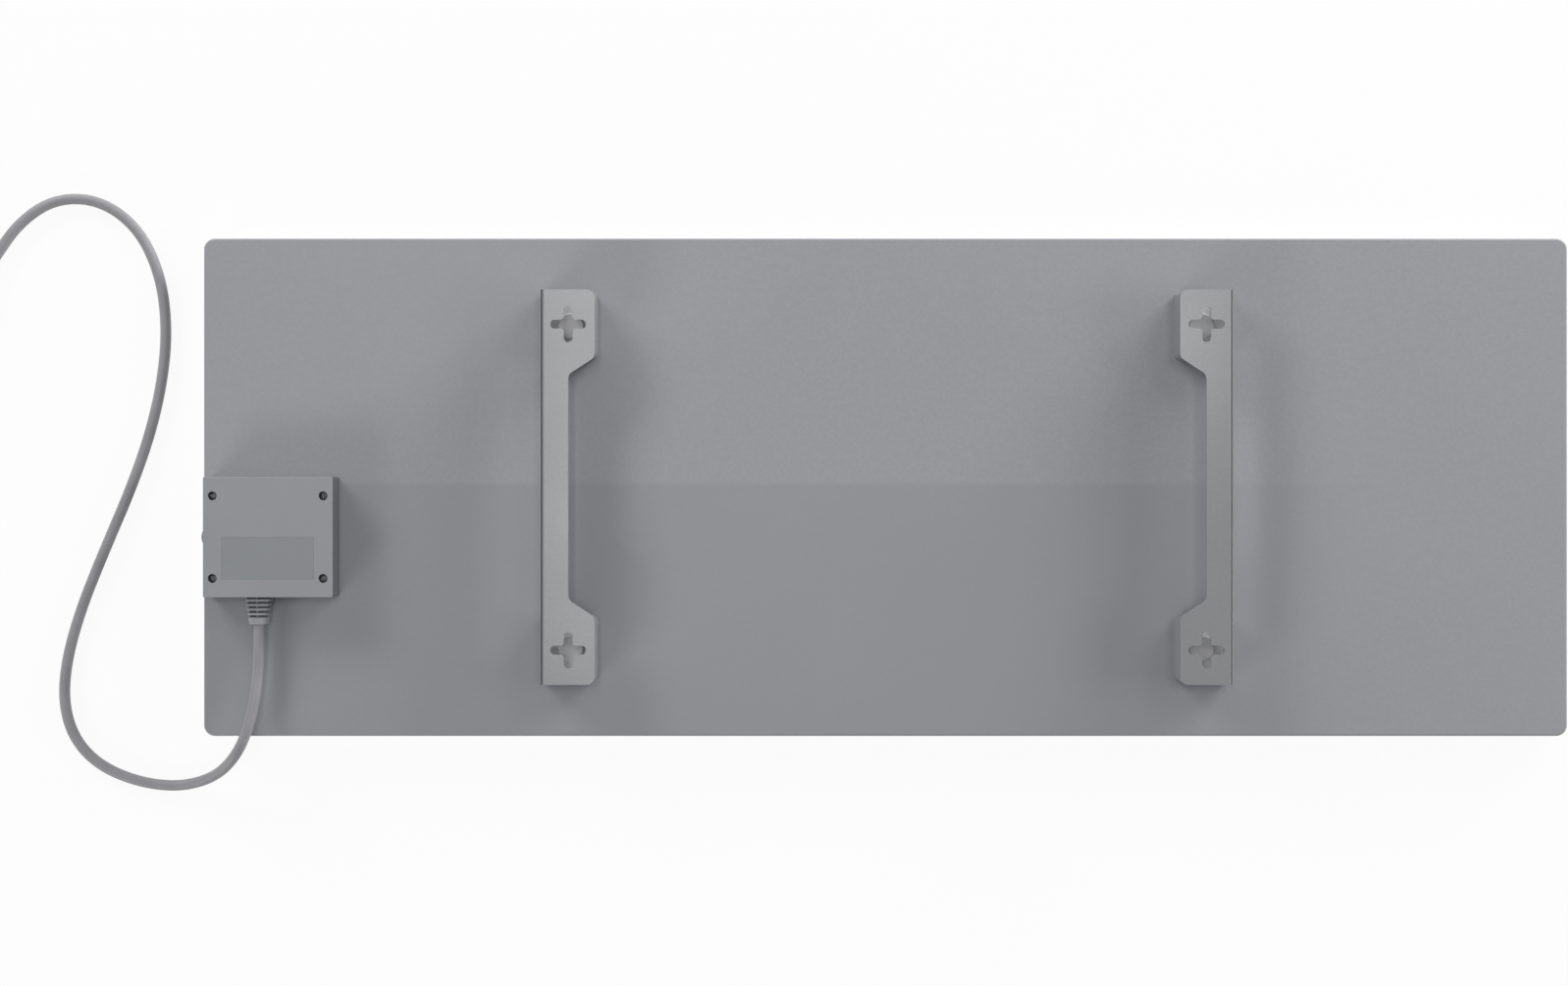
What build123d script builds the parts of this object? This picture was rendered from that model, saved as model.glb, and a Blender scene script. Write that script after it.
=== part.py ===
from build123d import *
import math
import os

# An infrared panel heater, lying on its radiating face with its back and wall brackets up.
# +X runs along the long side, +Y up the panel as it hangs, +Z out of the back.
# The origin is under the middle of the panel, on the radiating face. Millimetres throughout.

os.makedirs("parts", exist_ok=True)

# ---- Panel casing -----------------------------------------------------------------------
panel_width = 1000.0
panel_height = 365.0
panel_depth = 20.0
panel_corner = 8.0
panel_edge_round = 1.5
front_sheet = 1.2
rear_sheet = 1.0
seam_height = 12.0
seam_gap = 0.3
lip_depth = 5.0
lip_clearance = 0.3

# ---- Heating element and insulation -----------------------------------------------------
element_box_margin = 33.0
element_far_margin = 17.0
element_edge_margin = 22.5
element_sheet_thickness = 0.8
track_thickness = 0.3
track_width = 8.0
track_runs = 8
track_end_margin = 27.5
track_edge_margin = 27.0
track_pad_length = 22.0
insulation_box_margin = 22.0
insulation_far_margin = 10.0
insulation_edge_margin = 12.5
insulation_clearance = 0.2
insulation_window = 100.0
insulation_pocket_radius = 8.0
pad_notch_width = 12.0

# ---- Wall brackets ----------------------------------------------------------------------
bracket_span = 500.0
bracket_height = 285.0
bracket_standoff = 25.0
bracket_sheet = 1.5
bracket_bend = 2.5
ear_width = 39.0
ear_length = 49.0
waist_width = 20.0
ear_slope_length = 12.4
ear_corner = 6.0
foot_length = 49.5
foot_corner = 4.7
web_depth = 13.0
arch_corner = 5.0
keyhole_inset = 20.0
keyhole_spacing = 235.0
keyhole_length = 26.0
keyhole_slot = 6.4
keyhole_centre_diameter = 11.4
screw_hole_clearance = 0.3

# ---- Bracket screws and their nuts ------------------------------------------------------
bracket_screw_diameter = 6.0
bracket_screw_reach = 9.0
bracket_head_diameter = 19.0
bracket_head_height = 7.0
bracket_head_chamfer = 0.8
bracket_nut_flats = 10.0
bracket_nut_height = 5.0
nut_clearance = 0.05

# ---- Junction box -----------------------------------------------------------------------
box_width = 93.5
box_height = 87.0
box_depth = 22.0
box_side_margin = 5.9
box_drop = 36.1
box_wall = 2.0
box_roof = 2.2
box_corner = 1.0
box_edge = 0.4
tongue_height = 1.4
tongue_thickness = 0.9
tongue_clearance = 0.1
cover_screw_spacing_x = 80.0
cover_screw_spacing_y = 59.6
cover_screw_diameter = 3.0
cover_screw_length = 14.0
cover_head_diameter = 5.6
cover_head_height = 1.6
counterbore_diameter = 6.4
counterbore_depth = 3.6
tower_diameter = 9.2
boss_diameter = 7.2
label_width = 66.7
label_height = 30.3
label_drop = 15.3
label_recess = 0.3

# ---- Fixings inside the box -------------------------------------------------------------
base_screw_diameter = 4.0
base_screw_reach = 8.0
base_head_diameter = 8.0
base_head_height = 2.4
base_nut_flats = 7.0
base_nut_height = 3.2
base_screw_inset = 6.5
base_screw_rise_left = 15.0
base_screw_rise_right = -10.0
earth_stud_diameter = 4.0
earth_stud_height = 10.0
earth_flange_diameter = 8.0
earth_flange_height = 1.5
earth_lug_thickness = 0.8
earth_barrel_diameter = 3.9
earth_barrel_length = 5.0
earth_barrel_grip = 4.0
earth_barrel_gap = 0.2
earth_nut_flats = 7.0
earth_nut_height = 3.2
earth_stud_place = (-29.0, -24.0)

# ---- Control board ----------------------------------------------------------------------
board_width = 72.0
board_height = 39.0
board_thickness = 1.6
board_rise = 5.5
standoff_height = 3.0
standoff_diameter = 6.0
board_screw_inset = 4.0
board_screw_diameter = 2.5
board_screw_length = 4.0
board_head_diameter = 4.6
board_head_height = 1.7
terminal_pitch = 5.0
terminal_poles = 4
terminal_depth = 8.0
terminal_height = 11.0
terminal_place = (18.0, -8.0)
terminal_entry = 4.0
relay_size = (20.0, 10.0, 10.5)
relay_place = (17.0, 7.0)
module_size = (22.0, 15.0, 11.0)
module_place = (-9.0, 14.0)
capacitor_size = (18.0, 7.0, 12.0)
capacitor_place = (-8.0, -3.0)
fuse_diameter = 5.2
fuse_length = 20.0
fuse_place = (16.0, 18.5)
fuse_holder_size = (22.0, 7.0, 4.0)
cutout_place = (7.0, 17.1)
cutout_diameter = 16.0
cutout_height = 7.0
cutout_tab_reach = 11.0
cutout_tab_width = 4.8
cutout_tab_thickness = 0.8

# ---- Power button -----------------------------------------------------------------------
button_diameter = 10.0
button_proud = 1.2
button_travel = 1.5
button_dome = 1.1
button_clearance = 0.2
button_flange_diameter = 13.0
button_flange_thickness = 1.5
button_flange_gap = 0.1
button_stem_diameter = 5.0
button_stem_length = 5.4
plunger_diameter = 3.0
plunger_length = 6.0
switch_depth = 8.0
switch_width = 12.0
switch_gap = 0.4
switch_wall = 0.7

# ---- Lead-through grommet ---------------------------------------------------------------
grommet_place = (23.0, -27.0)
grommet_diameter = 14.0
grommet_bore = 8.4
grommet_flange_diameter = 17.0
grommet_flange = 1.2
grommet_clearance = 0.1
lead_diameter = 2.4
lead_bend = 5.0
lead_channel = 12.0

# ---- Strain relief ----------------------------------------------------------------------
cord_diameter = 7.8
relief_offset = -9.15
relief_length = 20.0
relief_root_width = 18.3
relief_root_height = 12.6
relief_tip_width = 12.4
relief_tip_height = 10.2
relief_corner = 3.0
relief_core_diameter = 9.6
relief_spine = 1.9
relief_fins = 4
relief_fin_pitch = 3.3
relief_fin_thickness = 1.5
relief_neck_diameter = 10.2
relief_neck_clearance = 0.1
relief_flange_diameter = 15.0
relief_flange = 2.5
relief_bore_clearance = 0.05
clamp_distance = 11.5
clamp_post_spacing = 18.0
clamp_post_diameter = 6.4
clamp_bar_width = 7.0
clamp_bar_thickness = 2.5
clamp_saddle_width = 12.0
clamp_screw_diameter = 2.9
clamp_screw_length = 8.0
clamp_head_diameter = 5.6
clamp_head_height = 2.0
cord_end_distance = 20.0
core_diameter = 2.5
core_bend = 2.8
core_clearance = 0.05
core_spread = 1.35
core_lift = 2.7
core_turn = 5.2
core_step = 2.9
earth_core_reach = 7.4

# ---- Free cord, its coil and its plug ---------------------------------------------------
floor_clearance = 0.1
cord_arc_share = 0.45
cord_exit_run = 17.4
coil_centre = (-717.0, 173.0)
coil_radius = 50.8
coil_pitch = 8.6
coil_layer_rise = 8.4
coil_layer_turns = 2
coil_start_angle = -30.0
coil_steps_per_turn = 4
coil_samples_per_turn = 48
tie_width = 10.0
tie_thickness = 1.0
tie_side_clearance = 0.8
tie_floor_clearance = 0.4
tie_angle = 60.0
tie_corner = 3.5
coil_lead_in = 18.0
tail_end_run = 13.0
tail_rise_run = 17.2
tail_turn = 6.0
plug_axis_height = 17.0
plug_boot_length = 22.0
plug_boot_diameter = 10.4
plug_neck_diameter = 15.0
plug_grip_length = 16.0
plug_body_length = 36.0
plug_face_diameter = 38.0
plug_face_round = 1.0
boot_grooves = 4
boot_groove_width = 1.6
boot_groove_pitch = 4.2
boot_groove_depth = 1.2
pin_diameter = 4.8
pin_length = 19.0
pin_spacing = 19.0
pin_seat_depth = 14.0
pin_clearance = 0.05
pin_tip_round = 1.8
earth_socket_diameter = 5.0
earth_socket_depth = 17.0
earth_socket_offset = 10.0
clip_width = 5.0
clip_thickness = 0.8
clip_length = 15.0
clip_clearance = 0.05

# The cord's free line from the strain relief to the coil: over the panel's lower edge, down to the
# floor, round the lower left and up past the side of the panel into its upper loop.
cord_points = [
    (-457.8, -139.0, 29.5),
    (-460.8, -163.0, 32.5),
    (-468.0, -187.0, 32.5),
    (-482.0, -205.0, 24.0),
    (-501.0, -216.5, 10.0),
    (-525.0, -222.0, 4.2),
    (-553.0, -218.5, 4.0),
    (-581.0, -207.0, 4.0),
    (-600.0, -188.0, 4.0),
    (-608.5, -162.0, 4.0),
    (-607.0, -131.0, 4.0),
    (-596.5, -92.0, 4.0),
    (-578.0, -46.0, 4.0),
    (-559.0, -2.0, 4.0),
    (-543.5, 42.0, 4.0),
    (-534.5, 84.0, 4.0),
    (-532.0, 121.0, 4.0),
    (-537.0, 158.0, 4.0),
    (-553.0, 192.0, 4.0),
    (-581.0, 213.0, 4.0),
    (-614.0, 214.5, 4.0),
    (-641.0, 197.0, 4.4),
]

# ---- Places worked out from the sizes above ---------------------------------------------
back_z = panel_depth
sheet_inner_z = back_z - rear_sheet
element_z = front_sheet
track_z = element_z + element_sheet_thickness
insulation_z = track_z + track_thickness
plate_z = back_z + bracket_standoff
foot_z = back_z + bracket_sheet
box_floor_z = back_z + box_wall
box_seam_z = back_z + box_depth / 2
box_top_z = back_z + box_depth
box_x = -panel_width / 2 + box_side_margin + box_width / 2
box_y = -box_drop
board_z = box_floor_z + standoff_height
board_top_z = board_z + board_thickness
terminal_entry_z = board_top_z + terminal_entry
relief_x = box_x + relief_offset
box_low_y = box_y - box_height / 2
box_left_x = box_x - box_width / 2
cord_radius = cord_diameter / 2
lead_radius = lead_diameter / 2
core_radius = core_diameter / 2
keyhole_x = bracket_span / 2 - keyhole_inset
keyhole_points = [
    (side * keyhole_x, end * keyhole_spacing / 2) for side in (-1, 1) for end in (-1, 1)
]
cover_screw_points = [
    (box_x + side * cover_screw_spacing_x / 2, box_y + end * cover_screw_spacing_y / 2)
    for side in (-1, 1)
    for end in (-1, 1)
]
base_screw_points = [
    (box_x - box_width / 2 + base_screw_inset, box_y + base_screw_rise_left),
    (box_x + box_width / 2 - base_screw_inset, box_y + base_screw_rise_right),
]


def level(height):
    """The horizontal plane at a height above the floor."""
    return Plane.XY.offset(height)


def in_box(place):
    """A place given from the middle of the junction box, as a point of the whole heater."""
    return (box_x + place[0], box_y + place[1])


earth_point = in_box(earth_stud_place)
grommet_point = in_box(grommet_place)
board_centre = in_box((0.0, board_rise))
board_screw_points = [
    (
        board_centre[0] + side * (board_width / 2 - board_screw_inset),
        board_centre[1] + end * (board_height / 2 - board_screw_inset),
    )
    for side in (-1, 1)
    for end in (-1, 1)
]
terminal_points = [
    (
        in_box(terminal_place)[0] + (pole - (terminal_poles - 1) / 2) * terminal_pitch,
        in_box(terminal_place)[1] - terminal_depth / 2,
    )
    for pole in range(terminal_poles)
]
clamp_y = box_low_y + box_wall + clamp_distance
clamp_post_points = [(relief_x + side * clamp_post_spacing / 2, clamp_y) for side in (-1, 1)]
# Looking out of the box: along the button's axis, and along the cord where it leaves.
button_plane = Plane(origin=(box_left_x, box_y, box_seam_z), x_dir=(0, 1, 0), z_dir=(-1, 0, 0))
relief_plane = Plane(origin=(relief_x, box_low_y, box_seam_z), x_dir=(1, 0, 0), z_dir=(0, -1, 0))


# ---- Panel casing -----------------------------------------------------------------------
def ring(outer_inset, inner_inset):
    """A rounded frame between two insets from the panel's outline, drawn in the current sketch."""
    for inset, mode in ((outer_inset, Mode.ADD), (inner_inset, Mode.SUBTRACT)):
        RectangleRounded(
            panel_width - 2 * inset, panel_height - 2 * inset, panel_corner - inset, mode=mode
        )


with BuildPart() as front_panel:
    with BuildSketch():
        RectangleRounded(panel_width, panel_height, panel_corner)
    extrude(amount=seam_height)
    fillet(front_panel.faces().sort_by(Axis.Z)[0].edges(), panel_edge_round)
    offset(amount=-front_sheet, openings=front_panel.faces().sort_by(Axis.Z)[-1])
front_panel.part.label = "front_panel"
export_step(front_panel.part, "parts/front_panel.step")

skirt_z = seam_height + seam_gap
lip_inset = front_sheet + lip_clearance
with BuildPart() as rear_panel:
    with BuildSketch(level(skirt_z)):
        RectangleRounded(panel_width, panel_height, panel_corner)
    extrude(amount=back_z - skirt_z)
    fillet(rear_panel.faces().sort_by(Axis.Z)[-1].edges(), panel_edge_round)
    offset(amount=-rear_sheet, openings=rear_panel.faces().sort_by(Axis.Z)[0])
    # The joggle that steps in from the skirt, and the lip that it holds inside the front tray.
    with BuildSketch(level(skirt_z)):
        ring(0, lip_inset + rear_sheet)
    extrude(amount=rear_sheet)
    with BuildSketch(level(seam_height - lip_depth)):
        ring(lip_inset, lip_inset + rear_sheet)
    extrude(amount=lip_depth + seam_gap)
    with BuildSketch(level(back_z)):
        with Locations(*keyhole_points):
            Circle(bracket_screw_diameter / 2 + screw_hole_clearance)
        with Locations(*base_screw_points):
            Circle(base_screw_diameter / 2 + screw_hole_clearance)
        with Locations(earth_point):
            Circle(earth_stud_diameter / 2 + screw_hole_clearance)
        with Locations(grommet_point):
            Circle(grommet_diameter / 2)
    extrude(amount=-2 * rear_sheet, mode=Mode.SUBTRACT)
rear_panel.part.label = "rear_panel"
export_step(rear_panel.part, "parts/rear_panel.step")

# ---- Heating element and insulation -----------------------------------------------------
# Margins are counted from the panel's outline: at the box's end, at the far end, along the edges.
element_start_x = -panel_width / 2 + element_box_margin
element_end_x = panel_width / 2 - element_far_margin
element_x = (element_start_x + element_end_x) / 2
element_height = panel_height - 2 * element_edge_margin
with BuildPart() as element_sheet:
    with BuildSketch(level(element_z)):
        with Locations((element_x, 0)):
            RectangleRounded(element_end_x - element_start_x, element_height, panel_corner)
    extrude(amount=element_sheet_thickness)
element_sheet.part.label = "element_sheet"
export_step(element_sheet.part, "parts/element_sheet.step")

track_start_x = element_start_x + track_end_margin
track_end_x = element_end_x - track_end_margin
track_pitch = (element_height - 2 * track_edge_margin) / (track_runs - 1)
track_rows = [(run - (track_runs - 1) / 2) * track_pitch for run in range(track_runs)]
with BuildPart() as heating_track:
    with BuildSketch(level(track_z)):
        for run, row_y in enumerate(track_rows):
            with Locations((element_x, row_y)):
                Rectangle(track_end_x - track_start_x, track_width)
            if run < track_runs - 1:
                turn_x = track_end_x if run % 2 == 0 else track_start_x
                outward = -90 if run % 2 == 0 else 90
                with BuildLine():
                    CenterArc((turn_x, row_y + track_pitch / 2), track_pitch / 2, outward, 180)
                trace(line_width=track_width)
        for row_y in (track_rows[0], track_rows[-1]):
            with Locations((track_start_x - track_pad_length / 2, row_y)):
                Rectangle(track_pad_length, track_width)
    extrude(amount=track_thickness)
heating_track.part.label = "heating_track"
export_step(heating_track.part, "parts/heating_track.step")

insulation_start_x = -panel_width / 2 + insulation_box_margin
insulation_end_x = panel_width / 2 - insulation_far_margin
with BuildPart() as insulation_board:
    with BuildSketch(level(insulation_z)):
        with Locations(((insulation_start_x + insulation_end_x) / 2, 0)):
            RectangleRounded(
                insulation_end_x - insulation_start_x,
                panel_height - 2 * insulation_edge_margin,
                panel_corner,
            )
        with Locations((box_x, box_y)):
            Rectangle(insulation_window, insulation_window, mode=Mode.SUBTRACT)
        with Locations(*keyhole_points):
            Circle(insulation_pocket_radius, mode=Mode.SUBTRACT)
        for row_y in (track_rows[0], track_rows[-1]):
            with Locations((track_start_x - track_pad_length, row_y)):
                Rectangle(2 * track_pad_length, pad_notch_width, mode=Mode.SUBTRACT)
    extrude(amount=sheet_inner_z - insulation_clearance - insulation_z)
insulation_board.part.label = "insulation_board"
export_step(insulation_board.part, "parts/insulation_board.step")

# ---- Wall brackets ----------------------------------------------------------------------
bracket_outer_x = bracket_span / 2
ear_inner_x = bracket_outer_x - ear_width
waist_inner_x = bracket_outer_x - waist_width
ear_start_y = bracket_height / 2 - ear_length
slope_end_y = ear_start_y - ear_slope_length
foot_start_y = bracket_height / 2 - foot_length
web_foot_z = back_z + bracket_bend
arch_height = bracket_standoff - web_depth

with BuildPart() as wall_bracket_right:
    # A channel pressed from sheet: wall plate, web and foot, its open side towards the middle.
    with BuildSketch(Plane.XZ.offset(-bracket_height / 2)):
        with BuildLine():
            Polyline(
                (ear_inner_x, back_z),
                (bracket_outer_x, back_z),
                (bracket_outer_x, plate_z),
                (ear_inner_x, plate_z),
                (ear_inner_x, plate_z - bracket_sheet),
                (bracket_outer_x - bracket_sheet, plate_z - bracket_sheet),
                (bracket_outer_x - bracket_sheet, foot_z),
                (ear_inner_x, foot_z),
                close=True,
            )
        channel = make_face()
        outer_bends = channel.vertices().group_by(Axis.X)[-1]
        inner_bends = channel.vertices().group_by(Axis.X)[-2]
        fillet(outer_bends, bracket_bend)
        fillet(inner_bends, bracket_bend - bracket_sheet)
    extrude(amount=bracket_height)
    # The waist between the ears, through the wall plate and the air behind it.
    with BuildSketch(level(web_foot_z)):
        with BuildLine():
            Polyline(
                (ear_inner_x, ear_start_y),
                (waist_inner_x, slope_end_y),
                (waist_inner_x, -slope_end_y),
                (ear_inner_x, -ear_start_y),
                (ear_inner_x - ear_corner, -ear_start_y),
                (ear_inner_x - ear_corner, ear_start_y),
                close=True,
            )
        waist = make_face()
        fillet(waist.vertices().group_by(Axis.X)[-1], ear_corner)
    extrude(amount=bracket_standoff, mode=Mode.SUBTRACT)
    # The foot is left only under each ear, and between the feet the web is cut back to an arch.
    with BuildSketch(Plane.YZ.offset(ear_inner_x)):
        with Locations((0, back_z)):
            arch = Rectangle(2 * foot_start_y, 2 * arch_height)
        fillet(arch.vertices().group_by(Axis.Y)[-1], arch_corner)
    extrude(amount=ear_width, mode=Mode.SUBTRACT)
    upright = wall_bracket_right.edges().filter_by(Axis.Z)
    open_side = upright.filter_by(lambda edge: abs(edge.center().X - ear_inner_x) < ear_width / 100)
    plate_corners = open_side.filter_by(lambda edge: edge.center().Z > box_top_z)
    foot_corners = open_side.filter_by(lambda edge: edge.center().Z < box_top_z)
    fillet(plate_corners, ear_corner)
    fillet(foot_corners, foot_corner)
    # Cross-shaped keyholes for the wall screws, and the holes in the feet behind them.
    with BuildSketch(level(plate_z)):
        with Locations(*[point for point in keyhole_points if point[0] > 0]):
            SlotOverall(keyhole_length, keyhole_slot)
            SlotOverall(keyhole_length, keyhole_slot, rotation=90)
            Circle(keyhole_centre_diameter / 2)
    extrude(amount=-2 * bracket_sheet, mode=Mode.SUBTRACT)
    with BuildSketch(level(foot_z)):
        with Locations(*[point for point in keyhole_points if point[0] > 0]):
            Circle(bracket_screw_diameter / 2 + screw_hole_clearance)
    extrude(amount=-bracket_sheet, mode=Mode.SUBTRACT)
wall_bracket_right.part.label = "wall_bracket_right"
export_step(wall_bracket_right.part, "parts/wall_bracket_right.step")

with BuildPart() as wall_bracket_left:
    add(mirror(wall_bracket_right.part, about=Plane.YZ, mode=Mode.PRIVATE))
wall_bracket_left.part.label = "wall_bracket_left"
export_step(wall_bracket_left.part, "parts/wall_bracket_left.step")

with BuildPart() as bracket_screws:
    with BuildSketch(level(foot_z)):
        with Locations(*keyhole_points):
            Circle(bracket_head_diameter / 2)
    extrude(amount=bracket_head_height)
    chamfer(bracket_screws.edges().group_by(Axis.Z)[-1], bracket_head_chamfer)
    with BuildSketch(level(foot_z)):
        with Locations(*keyhole_points):
            Circle(bracket_screw_diameter / 2)
    extrude(amount=-bracket_screw_reach)
bracket_screws.part.label = "bracket_screws"
export_step(bracket_screws.part, "parts/bracket_screws.step")


def nuts(points, flats, height, thread, top_z):
    """Hexagon nuts under a height, with their threads' bores."""
    with BuildPart() as made:
        with BuildSketch(level(top_z)):
            with Locations(*points):
                RegularPolygon(flats / 2, 6, major_radius=False)
                Circle(thread / 2 + nut_clearance, mode=Mode.SUBTRACT)
        extrude(amount=-height)
    return made.part


bracket_nuts = nuts(
    keyhole_points, bracket_nut_flats, bracket_nut_height, bracket_screw_diameter, sheet_inner_z
)
bracket_nuts.label = "bracket_nuts"
export_step(bracket_nuts, "parts/bracket_nuts.step")

base_nuts = nuts(base_screw_points, base_nut_flats, base_nut_height, base_screw_diameter, sheet_inner_z)
base_nuts.label = "base_nuts"
export_step(base_nuts, "parts/base_nuts.step")

# ---- Junction box -----------------------------------------------------------------------
with BuildPart() as box_base:
    with BuildSketch(level(back_z)):
        with Locations((box_x, box_y)):
            RectangleRounded(box_width, box_height, box_corner)
    extrude(amount=box_seam_z - back_z)
    with BuildSketch(level(box_floor_z)):
        with Locations((box_x, box_y)):
            Rectangle(box_width - 2 * box_wall, box_height - 2 * box_wall)
    extrude(amount=box_seam_z - box_floor_z, mode=Mode.SUBTRACT)
    # A tongue round the inside of the rim, which the cover's rebate drops over.
    with BuildSketch(level(box_seam_z)):
        with Locations((box_x, box_y)):
            Rectangle(
                box_width - 2 * (box_wall - tongue_thickness),
                box_height - 2 * (box_wall - tongue_thickness),
            )
            Rectangle(box_width - 2 * box_wall, box_height - 2 * box_wall, mode=Mode.SUBTRACT)
    extrude(amount=tongue_height)
    with BuildSketch(level(box_floor_z)):
        with Locations(*cover_screw_points):
            Circle(boss_diameter / 2)
    extrude(amount=box_seam_z - box_floor_z)
    with BuildSketch(level(box_floor_z)):
        with Locations(*board_screw_points):
            Circle(standoff_diameter / 2)
    extrude(amount=standoff_height)
    # The cord clamp's two posts and the saddle under the cord.
    with BuildSketch(level(box_floor_z)):
        with Locations(*clamp_post_points):
            Circle(clamp_post_diameter / 2)
    extrude(amount=box_seam_z + cord_radius - box_floor_z)
    with BuildSketch(level(box_floor_z)):
        with Locations((relief_x, clamp_y)):
            Rectangle(clamp_saddle_width, clamp_bar_width)
    extrude(amount=box_seam_z - cord_radius - box_floor_z)
    # Screw bores, and the half openings for the strain relief and the button.
    with BuildSketch(level(box_seam_z)):
        with Locations(*cover_screw_points):
            Circle(cover_screw_diameter / 2 + nut_clearance)
    extrude(amount=box_floor_z - box_seam_z, mode=Mode.SUBTRACT)
    with BuildSketch(level(board_z)):
        with Locations(*board_screw_points):
            Circle(board_screw_diameter / 2 + nut_clearance)
    extrude(amount=-standoff_height, mode=Mode.SUBTRACT)
    with BuildSketch(level(box_seam_z + cord_radius)):
        with Locations(*clamp_post_points):
            Circle(clamp_screw_diameter / 2 + nut_clearance)
    extrude(amount=-clamp_screw_length, mode=Mode.SUBTRACT)
    with BuildSketch(level(box_floor_z)):
        with Locations(*base_screw_points):
            Circle(base_screw_diameter / 2 + screw_hole_clearance)
        with Locations(earth_point):
            Circle(earth_stud_diameter / 2 + screw_hole_clearance)
        with Locations(grommet_point):
            Circle(grommet_diameter / 2)
    extrude(amount=-box_wall, mode=Mode.SUBTRACT)
    with BuildSketch(relief_plane):
        Circle(relief_neck_diameter / 2 + relief_neck_clearance)
    extrude(amount=-box_wall, mode=Mode.SUBTRACT)
    with BuildSketch(button_plane):
        Circle(button_diameter / 2 + button_clearance)
    extrude(amount=-box_wall, mode=Mode.SUBTRACT)
box_base.part.label = "box_base"
export_step(box_base.part, "parts/box_base.step")

rebate_thickness = tongue_thickness + tongue_clearance
with BuildPart() as box_cover:
    with BuildSketch(level(box_seam_z)):
        with Locations((box_x, box_y)):
            RectangleRounded(box_width, box_height, box_corner)
    extrude(amount=box_top_z - box_seam_z)
    fillet(box_cover.faces().sort_by(Axis.Z)[-1].edges(), box_edge)
    with BuildSketch(level(box_seam_z)):
        with Locations((box_x, box_y)):
            Rectangle(box_width - 2 * box_wall, box_height - 2 * box_wall)
    extrude(amount=box_top_z - box_roof - box_seam_z, mode=Mode.SUBTRACT)
    with BuildSketch(level(box_seam_z)):
        with Locations((box_x, box_y)):
            Rectangle(
                box_width - 2 * (box_wall - rebate_thickness),
                box_height - 2 * (box_wall - rebate_thickness),
            )
    extrude(amount=tongue_height + tongue_clearance, mode=Mode.SUBTRACT)
    with BuildSketch(level(box_seam_z)):
        with Locations(*cover_screw_points):
            Circle(tower_diameter / 2)
    extrude(amount=box_top_z - box_roof - box_seam_z)
    with Locations(*[(x, y, box_top_z) for x, y in cover_screw_points]):
        CounterBoreHole(
            cover_screw_diameter / 2 + screw_hole_clearance, counterbore_diameter / 2, counterbore_depth
        )
    # The shallow field that a rating plate is stuck in.
    with BuildSketch(level(box_top_z)):
        with Locations((box_x, box_y - label_drop)):
            Rectangle(label_width, label_height)
    extrude(amount=-label_recess, mode=Mode.SUBTRACT)
    with BuildSketch(relief_plane):
        Circle(relief_neck_diameter / 2 + relief_neck_clearance)
    extrude(amount=-box_wall, mode=Mode.SUBTRACT)
    with BuildSketch(button_plane):
        Circle(button_diameter / 2 + button_clearance)
    extrude(amount=-box_wall, mode=Mode.SUBTRACT)
box_cover.part.label = "box_cover"
export_step(box_cover.part, "parts/box_cover.step")


def pan_screws(points, seat_z, diameter, length, head_diameter, head_height):
    """Pan-head screws, each with its head on a seat and its shank below it."""
    with BuildPart() as made:
        with BuildSketch(level(seat_z)):
            with Locations(*points):
                Circle(head_diameter / 2)
        extrude(amount=head_height)
        fillet(made.edges().group_by(Axis.Z)[-1], head_height / 2)
        with BuildSketch(level(seat_z)):
            with Locations(*points):
                Circle(diameter / 2)
        extrude(amount=-length)
    return made.part


cover_screws = pan_screws(
    cover_screw_points,
    box_top_z - counterbore_depth,
    cover_screw_diameter,
    cover_screw_length,
    cover_head_diameter,
    cover_head_height,
)
cover_screws.label = "cover_screws"
export_step(cover_screws, "parts/cover_screws.step")

base_screws = pan_screws(
    base_screw_points,
    box_floor_z,
    base_screw_diameter,
    base_screw_reach,
    base_head_diameter,
    base_head_height,
)
base_screws.label = "base_screws"
export_step(base_screws, "parts/base_screws.step")

# ---- Earthing ---------------------------------------------------------------------------
with BuildPart() as earth_stud:
    with BuildSketch(level(sheet_inner_z)):
        with Locations(earth_point):
            Circle(earth_flange_diameter / 2)
    extrude(amount=-earth_flange_height)
    with BuildSketch(level(sheet_inner_z)):
        with Locations(earth_point):
            Circle(earth_stud_diameter / 2)
    extrude(amount=earth_stud_height)
earth_stud.part.label = "earth_stud"
export_step(earth_stud.part, "parts/earth_stud.step")

lug_top_z = box_floor_z + earth_lug_thickness
barrel_x = earth_point[0] + earth_nut_flats / math.sqrt(3) + earth_barrel_gap
barrel_z = box_floor_z + earth_barrel_diameter / 2
with BuildPart() as earth_lug:
    with BuildSketch(level(box_floor_z)):
        with Locations(earth_point):
            Circle(earth_flange_diameter / 2)
        with Locations(((earth_point[0] + barrel_x + earth_barrel_gap) / 2, earth_point[1])):
            Rectangle(barrel_x + earth_barrel_gap - earth_point[0], earth_barrel_diameter)
        with Locations(earth_point):
            Circle(earth_stud_diameter / 2 + nut_clearance, mode=Mode.SUBTRACT)
    extrude(amount=earth_lug_thickness)
    with BuildSketch(Plane.YZ.offset(barrel_x)):
        with Locations((earth_point[1], barrel_z)):
            Circle(earth_barrel_diameter / 2)
    extrude(amount=earth_barrel_length)
    with BuildSketch(Plane.YZ.offset(barrel_x + earth_barrel_length)):
        with Locations((earth_point[1], barrel_z)):
            Circle(core_diameter / 2 + core_clearance)
    extrude(amount=-earth_barrel_grip, mode=Mode.SUBTRACT)
earth_lug.part.label = "earth_lug"
export_step(earth_lug.part, "parts/earth_lug.step")

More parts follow.
